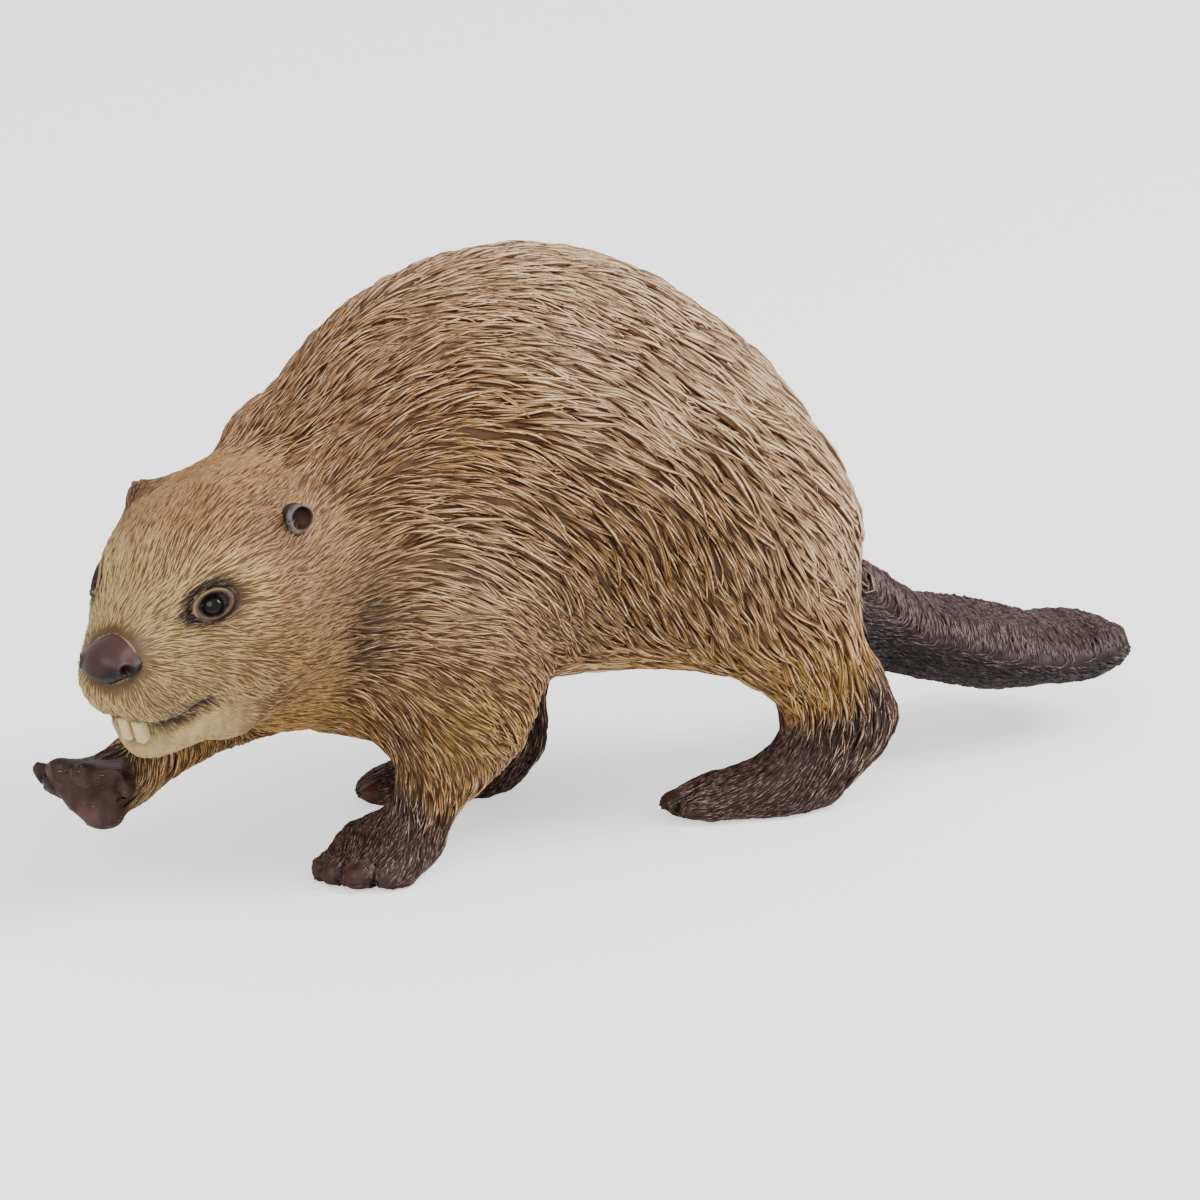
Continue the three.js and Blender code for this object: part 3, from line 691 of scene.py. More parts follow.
class Painting:
    """The colour of the paint at points of the toy, laid on one coat after another."""

    def __init__(self, points, owner, normals):
        self.points, self.owner, self.normals = points, owner, normals
        self.names = np.array(FLESH)[owner]
        self.local = HEAD.local(points)
        self.uneven = ripple(points, 4, 1)
        self.paint = np.broadcast_to(TAN, points.shape).copy()
        self.coat()
        self.face()
        self.limbs()

    def lay(self, colour, share):
        self.paint = layered(self.paint, colour, share)

    def coat(self):
        """The coat of the body: pale and pinkish on the back, ochre and cream below, the belly's cream
        lightened further as painted light bounced up from the floor.
        """
        lay, points, uneven = self.lay, self.points, self.uneven
        x, y, z = points.T
        f = self.local[:, 0]
        lay(OCHRE, 0.6 * ease(ripple(points, 6, 31), -0.1, 0.9))
        low = 1 - ease(z + 2 * uneven, 14, 24)
        lay(OCHRE, 0.9 * low * (1 - ease(-x, 34, 40)))
        front_slope = ease(-x + 0.3 * (z - 40) + 2 * uneven, 10, 22) * ease(z, 30, 38)
        lay(RUSSET, 0.6 * front_slope * (1 - ease(f, 2, 8)))
        lay(BLUSH, 0.75 * ease(z + 0.6 * x + 2.5 * uneven, 25, 41) * (1 - 0.6 * front_slope))
        lay(BLUSH, 0.25 * ease(ripple(points, 5, 32), 0.2, 1.0) * (1 - low))
        side_on = points * (1, 0, 1)
        flank = blot(side_on, (-1, 0, 26), (15, 1, 8)) * ease(np.abs(y), 8, 12)
        lay(OCHRE * 0.56, 0.85 * flank)
        lay(BLUSH, 0.55 * blot(side_on, (-19, 0, 27), (7, 1, 6)))
        lay(BLUSH * 1.15, 0.75 * blot(side_on, (16, 0, 25.5), (6, 1, 6)))
        # the belly's cream paint, made paler still as painted light bounced up from the white floor
        belly = (1 - ease(z + uneven, 14, 17.5)) * np.isin(self.names, ("trunk", "neck"))
        lay(linear(232, 204, 146), 0.85 * belly)

    def face(self):
        """The face: a russet forehead, cream cheeks, and dark smudges round eyes, mouth, ears and nose."""
        lay, points, local, uneven = self.lay, self.points, self.local, self.uneven
        f, _, t = local.T
        forehead = bell(f - 2, 6) * ease(t, -1.5, 2)
        lay(RUSSET, 0.7 * forehead)
        in_head = ease(f, -2, 4)
        lay(CREAM, in_head * ease(f + 0.4 * uneven, 4, 11) * 0.85)
        lay(OCHRE, 0.45 * in_head * bell(np.hypot(f - 4, t + 9), 5))
        chin = in_head * ease(-t, 10.6, 12.2) * ease(f, 6, 12)
        lay(PALE, chin)
        lay(UMBER, 0.5 * chin * ease(ripple(points, 0.35, 12) + 0.5 * ripple(points, 1.2, 13), 0.9, 1.3))
        for side in SIDES:
            front, top, out = eye_coordinates(local, side)
            near = out > LID_BACK
            lids = lids_at(front, top)
            lay(CREAM, np.where(near, 0.8 * bell(lids - 4.0, 1.3), 0))
            smudge = (1 - ease(lids, 1.4, 3.3)) * (0.7 + 0.2 * ease(-top, 0, 1))
            lay(UMBER, np.where(near, smudge, 0))
            lay(PLUM * 1.3, np.where(near, 0.7 * (1 - ease(lids, 1.5, 2.1)), 0))
            brow = bell(lids - 2.2, 0.42) * ease(top + 0.15 * front, 0.1, 0.7) * ease(top, -1.1, -0.2)
            brow = np.maximum(brow, bell(lids - 2.1, 0.4) * ease(front, 1.0, 1.7) * ease(top, -1.0, -0.2))
            brow *= (1 + 0.35 * ripple(points, 0.5, 9)) * (1 - 0.5 * ease(-front, 1.8, 2.8))
            lay(UMBER * 0.35, np.where(near, np.clip(1.2 * brow, 0, 0.95), 0))
            corner = bell(np.hypot(front - 1.7, top + 0.5), 0.5)
            lay(PLUM, np.where(near, 0.7 * corner, 0))
            lid = bell(lids - 1.5, 0.08) * (0.05 + 0.6 * ease(top + 0.3 * front, -0.1, 0.6))
            lay(CREAM, np.where(near, lid, 0))
            # painted shade: near-black in the pocket between the eyeball and its lids
            lay(PLUM * 0.3, np.where(near, 1 - ease(lids, 1.15, 1.32), 0))
            away, along = near_line(local * (1, side, 1), MOUTH)
            feather = 0.3 * ripple(points, 0.5, 8) + 0.35 * ease(-t, 10.4, 11.0) * (1 - along)
            smear = bell(np.maximum(away - 0.5 - feather, 0), 0.45) * (1 - ease(along, 0.9, 1))
            lay(UMBER, 0.85 * smear)
            # painted shade: a darker line along the mouth's groove, under the upper lip, over the brown
            # smear
            lay(UMBER * 0.5, 0.85 * bell(away, 0.6) * (1 - ease(along, 0.9, 1)))
            ear = ear_middle(side)
            away = away_from(local, ear + mirrored(PINNA[side][0], side))
            patch = 0.65 * bell(away, 1.8) if side > 0 else 1 - ease(away, 2.0, 3.2)
            lay(RUSSET * 0.4 + PLUM * 0.6, patch)
        # painted shade: a dark spot behind and between the incisors
        lay(PLUM, 0.9 * bell(away_from(local, (16.5, 0.2, -11.4)), 1.1))
        # painted shade: a dark ring on the face round the base of the nose pad
        away = away_from(local, NOSE, NOSE_RADII)
        lay(UMBER, (1 - ease(away + 0.1 * ripple(points, 0.4, 6), 1.0, 1.25)) * 0.5)
        away, _ = near_line(local, PHILTRUM)
        lay(UMBER, 0.6 * bell(away, 0.35))

    def limbs(self):
        """Painted shade behind the cheek, down the front of the left foreleg and under the tail, painted
        light on the right hind toes and a painted highlight along the tail's left edge, and the dark paws,
        feet and tail.
        """
        lay, points, normals, names = self.lay, self.points, self.normals, self.names
        x, _, z = points.T
        dark = dark_share(points, self.owner)
        # painted shade: dark brown behind the cheek where the neck meets the shoulder, and down the front of
        # the left foreleg
        lay(RUSSET * 0.22, 0.85 * blot(points, (-26.5, -11, 23.5), (2.3, 4.2, 5)))
        lay(UMBER, 0.65 * blot(points, (-23, -9, 12), (2.2, 3.5, 5)))
        feet = np.where(np.isin(names, ("tail", "trunk"))[:, None], SMOKE, UMBER)
        lay(feet, dark)
        root = ease(x, 20, 22) * (1 - ease(x + ripple(points, 1.5, 14), 24, 28)) * ease(z, 15, 19)
        lay(linear(126, 100, 90), 0.6 * root)
        palm = bell(away_from(RIGHT_PAW.local(points), (0.9, -0.4, -1.2)), 1.0)
        lay(linear(150, 104, 100), 0.7 * palm * dark)
        # painted light: a light brown patch that lifts the right hind toes out of the body's shade
        lit_toes = bell(away_from(RIGHT_FOOT.local(points), (8.0, 1.2, 1.2)), 1.7)
        lay(linear(150, 104, 78), 0.7 * lit_toes)
        tail = names == "tail"
        shaded = tail * (1 - ease(normals[:, 2], -0.1, 0.6))
        lay(SMOKE * 0.22, 0.85 * shaded * dark)
        # painted highlight: pale wavy streaks along the upper edge of the tail's left side, where it turns
        # from top to side
        crest = bell(normals[:, 2] - 0.4, 0.22) * (normals[:, 1] < 0) * (0.5 + 0.5 * np.sin(11 * x + 4 * z))
        lay(linear(128, 108, 106), 0.55 * crest * dark * tail)
        lay(PLUM * 0.4, 0.95 * between_toes(points))
        lay(linear(26, 19, 22), 0.9 * nail_plates(points))
        lay(linear(130, 104, 96), 0.45 * bell(nail_edges(points), 0.11))


# ---- moulded locks --------------------------------------------------------------------------------
class Coat:
    """The skin as the ground of the coat: what lies where, and how big its locks are."""

    def __init__(self, mesh, owner):
        self.mesh = mesh
        self.points = points_of(mesh)
        self.normals = read(mesh.vertex_normals, "vector", 3)
        self.edges = edges_of(mesh)
        self.owner = owner
        self.lie = unit(relaxed(lie_of(self.points, self.normals), self.edges, 1.0, 4))
        self.paint = Painting(self.points, owner, self.normals).paint
        self.dark = dark_share(self.points, owner)
        faces = [list(face.vertices) for face in mesh.polygons]
        self.first = np.array([face[0] for face in faces])
        self.tree = BVHTree.FromPolygons([Vector(p) for p in self.points], faces)

    def nearest(self, points):
        """The nearest points of the skin, and a vertex beside each."""
        found = [self.tree.find_nearest(Vector(p)) for p in points]
        return np.array([hit[0] for hit in found]), self.first[[hit[2] for hit in found]]


# Length, width and height of a lock, and how much of the skin locks cover.
LOCKS = dict(trunk=(4.8, 0.46, 0.33, 1.0), neck=(4.0, 0.38, 0.28, 1.0), head=(2.4, 0.2, 0.12, 1.0),
             lower_jaw=(1.4, 0.18, 0.05, 0.4), foreleg_left=(3.0, 0.32, 0.17, 1.0),
             foreleg_right=(2.5, 0.3, 0.14, 1.0), hind_leg_left=(3.8, 0.4, 0.26, 1.0),
             hind_leg_right=(3.7, 0.4, 0.25, 1.0), forepaw_left=(1.6, 0.2, 0.11, 0.9),
             forepaw_right=(1.2, 0.24, 0.05, 0.1), hind_foot_left=(2.0, 0.2, 0.12, 1.0),
             hind_foot_right=(1.8, 0.24, 0.11, 1.0), tail=(1.6, 0.26, 0.12, 1.0))


def bare(coat):
    """1 where the toy is moulded smooth: lids, nose, chin, toes and pads; 0 in the coat."""
    z = coat.points[:, 2]
    local = HEAD.local(coat.points)
    smooth = 0.6 * ease(-local[:, 2], 11.2, 12.4) * ease(local[:, 0], 6, 12)
    for side in SIDES:
        front, top, out = eye_coordinates(local, side)
        smooth = np.maximum(smooth, np.where(out > LID_BACK, 1 - ease(lids_at(front, top), 1.5, 1.75), 0))
    smooth = np.maximum(smooth, 1 - ease(away_from(local, NOSE, NOSE_RADII), 0.9, 1.0))
    for place, at, radii in TOES:
        if place is not RIGHT_PAW:
            local = place.local(coat.points)
            toe = 1 - ease(away_from(local, at, radii), 1.05, 1.25)
            smooth = np.maximum(smooth, toe * ease(local[:, 0], 2, 4))
    return np.maximum(smooth, 1 - ease(z, 0.15, 0.7))


def lock_sizes(coat):
    """Length, width, height and cover at each vertex of the skin."""
    sizes = relaxed(from_nodes(LOCKS, coat.owner), coat.edges, 1.0, 12)
    x, _, z = coat.points.T
    f = HEAD.local(coat.points)[:, 0]
    rump = ease(x, -8, 6) * (1 - coat.dark) * ease(z, 14, 20)
    sizes[:, :3] *= (1 + 0.22 * rump)[:, None]
    crest = ease(z, 40, 48)
    slope = ease(-x, 14, 24) * ease(z, 30, 36) * (f < 0)
    sizes[:, :3] *= (1 - 0.3 * np.maximum(crest, slope))[:, None]
    belly = 1 - ease(z, 12.5, 17)
    trunk = coat.owner == FLESH.index("trunk")
    sizes[:, 0] *= 1 - 0.35 * belly * trunk
    sizes[:, 2] *= 1 - 0.5 * belly * trunk
    sizes[:, :3] *= (1 - 0.25 * ease(f, 9, 14))[:, None]
    sizes[:, 3] *= 1 - bare(coat)
    return sizes


def scattered(coat, sizes, packing):
    """Roots for locks, spread evenly, and closer where locks are small."""
    mesh = coat.mesh
    corner = read(mesh.polygons, "loop_start", 1, int).ravel()
    centre = read(mesh.polygons, "center", 3) / MM
    area = read(mesh.polygons, "area", 1).ravel() / MM**2
    first = coat.first
    room = sizes[first, 0] * sizes[first, 1] * packing
    share = area / room * (sizes[first, 3] > 0.02)
    tries = int(share.sum() * 3.2)
    chosen = rng.choice(len(share), tries, p=share / share.sum())
    loops = read(mesh.loops, "vertex_index", 1, int).ravel()
    total = read(mesh.polygons, "loop_total", 1, int).ravel()
    one = coat.points[loops[corner[chosen]]]
    pick = rng.integers(0, 1 << 30, tries) % total[chosen]
    other = coat.points[loops[corner[chosen] + pick]]
    a, b = rng.random((2, tries, 1))
    spots = centre[chosen] + (one - centre[chosen]) * a * 0.7 + (other - centre[chosen]) * b * 0.7
    radius = 0.7 * np.sqrt(room[chosen])
    tree = KDTree(tries)
    for i, spot in enumerate(spots):
        tree.insert(spot, i)
    tree.balance()
    free = np.ones(tries, bool)
    kept = []
    for i, spot in enumerate(spots):
        if free[i]:
            kept.append(i)
            for _, j, _ in tree.find_range(spot, radius[i]):
                free[j] = False
    kept = np.array(kept)
    kept = kept[rng.random(len(kept)) < sizes[first[chosen[kept]], 3]]
    return spots[kept]


def turned(direction, normal, angle):
    """Each direction, turned about its normal."""
    angle = angle[:, None]
    return direction * np.cos(angle) + np.cross(normal, direction) * np.sin(angle)


def trails(coat, roots, length, turn, bend, steps):
    """Stations on the skin from each root along the lie of the coat: places, normals, headings and paint."""
    here, stations = roots, []
    for step in range(steps):
        spot, vert = coat.nearest(here)
        normal = coat.normals[vert]
        heading_here = turned(coat.lie[vert], normal, turn + bend * step / (steps - 1))
        stations.append((spot, normal, heading_here, coat.paint[vert]))
        here = spot + heading_here * (length / (steps - 1))[:, None]
    return [np.stack(parts, 1) for parts in zip(*stations)]


# A lock's plan and side view at its inner stations, as shares of its width and height.
FULL_LOCK = dict(plan=(0.6, 1.0, 0.9, 0.5), rise=(0.4, 0.85, 1.0, 0.85), across=(-1, -0.5, 0, 0.5, 1),
                 crown=(0, 0.76, 1, 0.76, 0))
FINE_LOCK = dict(plan=(0.7, 1.0, 0.65), rise=(0.5, 1.0, 0.8), across=(-1, 0, 1), crown=(0, 1, 0))
PATCH = 0.003  # of the bake's map, for one lock
SINK = 0.07  # the foot of a lock lies this deep in the skin


def lock_faces(rows, columns):
    """The triangles of one lock: its root, rows of rings with their corners, and its tip."""
    last, tip = (rows - 1) * columns, rows * columns + 1
    triangles = []
    for column in range(columns):
        one, other = 1 + column, 1 + (column + 1) % columns
        triangles += [(0, other, one), (tip, last + one, last + other)]
        for start in range(0, last, columns):
            a, b = one + start, other + start
            triangles += [(a, b, b + columns), (a, b + columns, a + columns)]
    return np.array(triangles)


def lock_mesh(name, coat, roots, sizes, form, turn, bend, tip=0.12):
    """One mesh of moulded locks: each a closed ridge that swells from its root and runs out to a tip."""
    plan, rise = np.array(form["plan"]), np.array(form["rise"])
    across, crown = np.array(form["across"]), np.array(form["crown"])
    rows, columns, count = len(plan), len(across), len(roots)
    spot, normal, ahead, paint = trails(coat, roots, sizes[:, 0], turn, bend, rows + 2)
    side = np.cross(normal, ahead)
    half = sizes[:, 1, None] * plan / 2
    high = sizes[:, 2, None] * rise
    inner = slice(1, rows + 1)
    ring = (spot[:, inner, None] + side[:, inner, None] * (half[:, :, None] * across)[..., None]
            + normal[:, inner, None] * (-SINK + (high + SINK)[:, :, None] * crown)[..., None])
    start = spot[:, 0] - normal[:, 0] * SINK
    end = spot[:, -1] + normal[:, -1] * (sizes[:, 2] * tip)[:, None]
    points = in_box(np.concatenate([start[:, None], ring.reshape(count, -1, 3), end[:, None]], 1))
    each = points.shape[1]

    triangles = (np.arange(count)[:, None, None] * each + lock_faces(rows, columns)).reshape(-1, 3)

    mesh = bpy.data.meshes.new(name)
    mesh.vertices.add(count * each)
    mesh.vertices.foreach_set("co", (points * MM).ravel())
    mesh.loops.add(triangles.size)
    mesh.loops.foreach_set("vertex_index", triangles.ravel())
    mesh.polygons.add(len(triangles))
    mesh.polygons.foreach_set("loop_start", np.arange(0, triangles.size, 3))
    mesh.update(calc_edges=True)
    smooth_faces(mesh)

    _, vert = coat.nearest(roots)
    along = np.concatenate([[0], np.repeat(np.linspace(0, 1, rows + 2)[inner], columns), [1]])
    over = np.concatenate([[0], np.tile(across, rows), [0]])
    ridge = np.concatenate([[0], (rise[:, None] * crown).ravel(), [0.8]])
    chance = rng.random(count)
    paint = np.concatenate([paint[:, :1], np.repeat(paint[:, inner], columns, 1), paint[:, -1:]], 1)
    tell(mesh, "paint", "FLOAT_COLOR", np.concatenate([paint, np.ones((count, each, 1))], 2))
    tell(mesh, "relief", "FLOAT", np.tile(ridge, count))
    strand = np.stack([np.tile(over, count), np.tile(along, count) * np.repeat(sizes[:, 0], each),
                       np.repeat(chance, each)], 1)
    tell(mesh, "strand", "FLOAT_VECTOR", strand)
    patch = np.stack([over / 2, along - 0.5], 1) * PATCH
    spots = (unwrapped(coat, vert)[:, None] + patch).reshape(-1, 2)
    layer = mesh.uv_layers.new(name="OFBake")
    layer.data.foreach_set("uv", spots[triangles.ravel()].ravel())
    return mesh


def unwrapped(coat, vert):
    """Each vertex's place on the skin, unrolled node by node round its own length into a sheet of cells."""
    out = np.zeros((len(vert), 2))
    cells = 4
    for number, name in enumerate(FLESH):
        mine = coat.owner[vert] == number
        low, high = (np.array(c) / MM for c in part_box(name))
        place = (coat.points[vert[mine]] - (low + high) / 2) / (high - low)
        long_way = np.argmax(high - low)
        a, b = [axis for axis in range(3) if axis != long_way]
        round_it = np.arctan2(place[:, b], place[:, a]) / (2 * np.pi) + 0.5
        cell = np.array([number % cells, number // cells])
        inside = np.stack([round_it, np.clip(place[:, long_way] + 0.5, 0, 1)], 1)
        out[mine] = (cell + 0.06 + 0.88 * inside) / cells
    return out


# ---- materials ------------------------------------------------------------------------------------
class Nodes:
    """A node tree that is wired by calls."""

    def __init__(self, tree):
        self.tree = tree

    def add(self, kind, **settings):
        node = self.tree.nodes.new(kind)
        for name, value in settings.items():
            setattr(node, name, value)
        return node

    def feed(self, socket, value):
        if isinstance(value, bpy.types.NodeSocket):
            self.tree.links.new(value, socket)
        else:
            socket.default_value = value

    def math(self, operation, *values, clamp=False):
        node = self.add("ShaderNodeMath", operation=operation, use_clamp=clamp)
        for socket, value in zip(node.inputs, values):
            self.feed(socket, value)
        return node.outputs[0]

    def blend(self, share, one, other, mode="MIX"):
        node = self.add("ShaderNodeMix", data_type="RGBA", blend_type=mode)
        for name, value in (("Factor", share), ("A", one), ("B", other)):
            socket = next(s for s in node.inputs if s.name == name and s.enabled)
            self.feed(socket, value)
        return next(s for s in node.outputs if s.enabled)

    def band(self, value, low, high, start=0.0, end=1.0):
        node = self.add("ShaderNodeMapRange", interpolation_type="SMOOTHSTEP")
        for socket, setting in zip(node.inputs, (value, low, high, start, end)):
            self.feed(socket, setting)
        return node.outputs[0]

    def noise(self, vector, scale, detail=2.0, roughness=0.5):
        node = self.add("ShaderNodeTexNoise")
        settings = {"Vector": vector, "Scale": scale, "Detail": detail, "Roughness": roughness}
        for label, value in settings.items():
            self.feed(node.inputs[label], value)
        return node.outputs["Fac"]

    def attribute(self, name, output):
        return self.add("ShaderNodeAttribute", attribute_name=name).outputs[output]

    def place(self):
        return self.add("ShaderNodeTexCoord").outputs["Object"]


def new_group(name, inputs, outputs):
    """A node group with named sockets, its nodes, its input sockets and its output node."""
    tree = bpy.data.node_groups.new(name, "ShaderNodeTree")
    for label, kind in inputs:
        tree.interface.new_socket(label, in_out="INPUT", socket_type=kind)
    for label, kind in outputs:
        tree.interface.new_socket(label, in_out="OUTPUT", socket_type=kind)
    nodes = Nodes(tree)
    given = nodes.add("NodeGroupInput").outputs
    result = nodes.add("NodeGroupOutput").inputs
    return tree, nodes, given, result


FLOAT, COLOUR = "NodeSocketFloat", "NodeSocketColor"


def brushwork_group():
    """Paint over moulded relief: a dark wash in the grooves, and a dry brush over the ridges."""
    tree, nodes, given, result = new_group(
        "brushwork",
        [("Paint", COLOUR), ("Relief", FLOAT), ("Wash", FLOAT), ("Dry Brush", FLOAT), ("Highlight", COLOUR)],
        [("Colour", COLOUR), ("Roughness", FLOAT), ("Grain", FLOAT)],
    )
    place = nodes.place()
    cloudy = nodes.noise(place, 260, 3)
    fleck = nodes.noise(place, 2600, 3, 0.6)
    groove = nodes.math("SUBTRACT", 1, nodes.band(given["Relief"], 0.25, 0.85))
    patchy = nodes.math("MULTIPLY", groove, nodes.band(cloudy, 0.3, 0.6, 0.85, 1))
    washed = nodes.blend(1, given["Paint"], (0.1, 0.052, 0.02, 1), "MULTIPLY")
    share = nodes.math("MULTIPLY", patchy, given["Wash"], clamp=True)
    colour = nodes.blend(share, given["Paint"], washed)
    tone = nodes.band(cloudy, 0.25, 0.75, 0.86, 1.1)
    colour = nodes.blend(1, colour, tone, "MULTIPLY")
    ridge = nodes.band(given["Relief"], 0.7, 0.98)
    brushed = nodes.math("MULTIPLY", ridge, nodes.band(fleck, 0.32, 0.6))
    brushed = nodes.math("MULTIPLY", brushed, nodes.band(cloudy, 0.35, 0.6, 0.78, 1.1))
    share = nodes.math("MULTIPLY", brushed, given["Dry Brush"], clamp=True)
    pale = nodes.blend(0.7, given["Paint"], given["Highlight"])
    colour = nodes.blend(share, colour, pale)
    pit = nodes.band(fleck, 0.24, 0.34, 0.5, 1)
    colour = nodes.blend(1, colour, pit, "MULTIPLY")
    nodes.feed(result["Colour"], colour)
    nodes.feed(result["Roughness"], nodes.band(cloudy, 0.3, 0.7, 0.42, 0.58))
    nodes.feed(result["Grain"], fleck)
    return tree


def new_material(name):
    material = bpy.data.materials.new(name)
    material.use_nodes = True
    nodes = Nodes(material.node_tree)
    shader = material.node_tree.nodes["Principled BSDF"]
    return material, nodes, shader


def bump(nodes, height, distance, strength=1.0):
    node = nodes.add("ShaderNodeBump")
    node.inputs["Strength"].default_value = strength
    node.inputs["Distance"].default_value = distance * MM
    nodes.feed(node.inputs["Height"], height)
    return node.outputs["Normal"]


def moulded_material(name, brushwork, wash, dry_brush, highlight, strands, depth):
    """Painted moulded fur. Strands is how many fine grooves a lock has, and depth how deep they are."""
    material, nodes, shader = new_material(name)
    work = nodes.add("ShaderNodeGroup", node_tree=brushwork)
    nodes.feed(work.inputs["Paint"], nodes.attribute("paint", "Color"))
    work.inputs["Wash"].default_value = wash
    work.inputs["Dry Brush"].default_value = dry_brush
    work.inputs["Highlight"].default_value = (*highlight, 1)
    relief = nodes.attribute("relief", "Fac")
    if strands:
        parts = nodes.add("ShaderNodeSeparateXYZ")
        nodes.feed(parts.inputs[0], nodes.attribute("strand", "Vector"))
        over, _, chance = parts.outputs
        wander = nodes.math("MULTIPLY", nodes.noise(nodes.place(), 500, 1), 5.0)
        phase = nodes.math("ADD", nodes.math("MULTIPLY", over, strands * math.pi), wander)
        phase = nodes.math("ADD", phase, nodes.math("MULTIPLY", chance, 40.0))
        thread = nodes.math("MULTIPLY_ADD", nodes.math("SINE", phase), 0.5, 0.5)
        relief = nodes.math("MULTIPLY", relief, nodes.band(thread, 0, 0.75, 0.45, 1))
    nodes.feed(work.inputs["Relief"], relief)
    nodes.feed(shader.inputs["Base Color"], work.outputs["Colour"])
    nodes.feed(shader.inputs["Roughness"], work.outputs["Roughness"])
    shader.inputs["Specular IOR Level"].default_value = 0.3
    height = nodes.math("MULTIPLY_ADD", work.outputs["Grain"], 0.35, relief)
    nodes.feed(shader.inputs["Normal"], bump(nodes, height, depth))
    return material


# ---- pieces ---------------------------------------------------------------------------------------
def finish(name, mesh, material, slot, *nodes):
    """Hangs a finished mesh on the toy, in place of the CAD nodes it stands for."""
    thing = add_object(name, mesh)
    mesh.materials.clear()
    mesh.materials.append(material)
    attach(thing, "root")
    if nodes:
        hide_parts(*nodes)
    return thing


def tail_lie(coat):
    """On the tail the ridges run across its top and along its sides."""
    normals = coat.normals
    blade = (coat.owner == FLESH.index("tail")) & (coat.points[:, 0] > TAIL_START)
    axis = np.array([0.97, 0, -TAIL_FALL])
    along = unit(axis - normals * (normals @ axis)[:, None])
    lie = turned(along, normals, 0.5 * math.pi * ease(normals[:, 2], 0.25, 0.5))
    coat.lie = np.where(blade[:, None], lie, coat.lie)


def dress(coat, sizes, materials):
    """All the moulded locks, piece by piece."""
    roots = scattered(coat, sizes, 0.215)
    spots, vert = coat.nearest(roots)
    size = sizes[vert, :3] * np.exp(rng.normal(0, 0.27, (len(roots), 1))).clip(0.5, 1.8)
    size[:, 2] *= rng.normal(1, 0.25, len(roots)).clip(0.4, 1.6)
    turn = rng.normal(0, 0.07, len(roots)) + 0.22 * ripple(roots, 2.6, 21)
    bend = rng.normal(0, 0.15, len(roots)) + 0.4 * ripple(roots, 2.4, 22)
    blade = (coat.owner[vert] == FLESH.index("tail")) & (roots[:, 0] > TAIL_START)
    crest = bell(coat.normals[vert, 2] - 0.45, 0.2) * blade
    flip = np.where(ripple(roots, 0.9, 24) > 0, 1, -1)
    turn = np.where(blade, 0.35 * flip + rng.normal(0, 0.08, len(roots)), turn)
    bend = np.where(blade, -1.0 * flip, bend)
    size *= (1 + crest[:, None] * (0.25, 0.45, 0.6))
    y = roots[:, 1]
    names = np.array(FLESH)[coat.owner[vert]].astype(str)
    trunk = names == "trunk"
    feet = (np.char.find(names, "paw") > 0) | (np.char.find(names, "foot") > 0)
    for name, mine, form, slot, kind in (
        ("coat_flank_left", trunk & (y < 0), FULL_LOCK, "coat", "coat"),
        ("coat_flank_right", trunk & (y >= 0), FULL_LOCK, "coat", "coat"),
        ("coat_neck", names == "neck", FULL_LOCK, "coat", "coat"),
        ("coat_forelegs", np.char.startswith(names, "foreleg"), FULL_LOCK, "coat", "coat"),
        ("coat_hind_legs", np.char.startswith(names, "hind_leg"), FULL_LOCK, "coat", "coat"),
        ("coat_head", names == "head", FINE_LOCK, "coat", "face"),
        ("coat_jaw", names == "lower_jaw", FINE_LOCK, "coat", "face"),
        ("fur_feet", feet, FINE_LOCK, "feet", "feet"),
        ("tail_scales", names == "tail", FINE_LOCK, "tail", "tail"),
    ):
        mesh = lock_mesh(name, coat, spots[mine], size[mine], form, turn[mine], bend[mine])
        finish(name, mesh, materials[kind], slot)


def paint_skin(coat, sizes_cover):
    smooth = 1 - np.clip(1.6 * sizes_cover, 0, 1)
    relief = 0.78 - 0.24 * coat.dark + 0.1 * ripple(coat.points, 0.5, 41)
    tell_finish(coat.mesh, coat.paint, np.clip(relief, 0, 0.92) * smooth)


def make_eye(side, material):
    bm = bmesh.new()
    bmesh.ops.create_uvsphere(bm, u_segments=40, v_segments=24, radius=EYE_RADIUS * MM)
    bmesh.ops.translate(bm, verts=bm.verts, vec=Vector(HEAD.world(mirrored(EYE, side))) * MM)
    name = side_name(side)
    mesh = as_mesh(bm, f"eyeball_{name}")
    smooth_faces(mesh)
    finish(f"eyeball_{name}", mesh, material, "eye", f"eye_{name}")


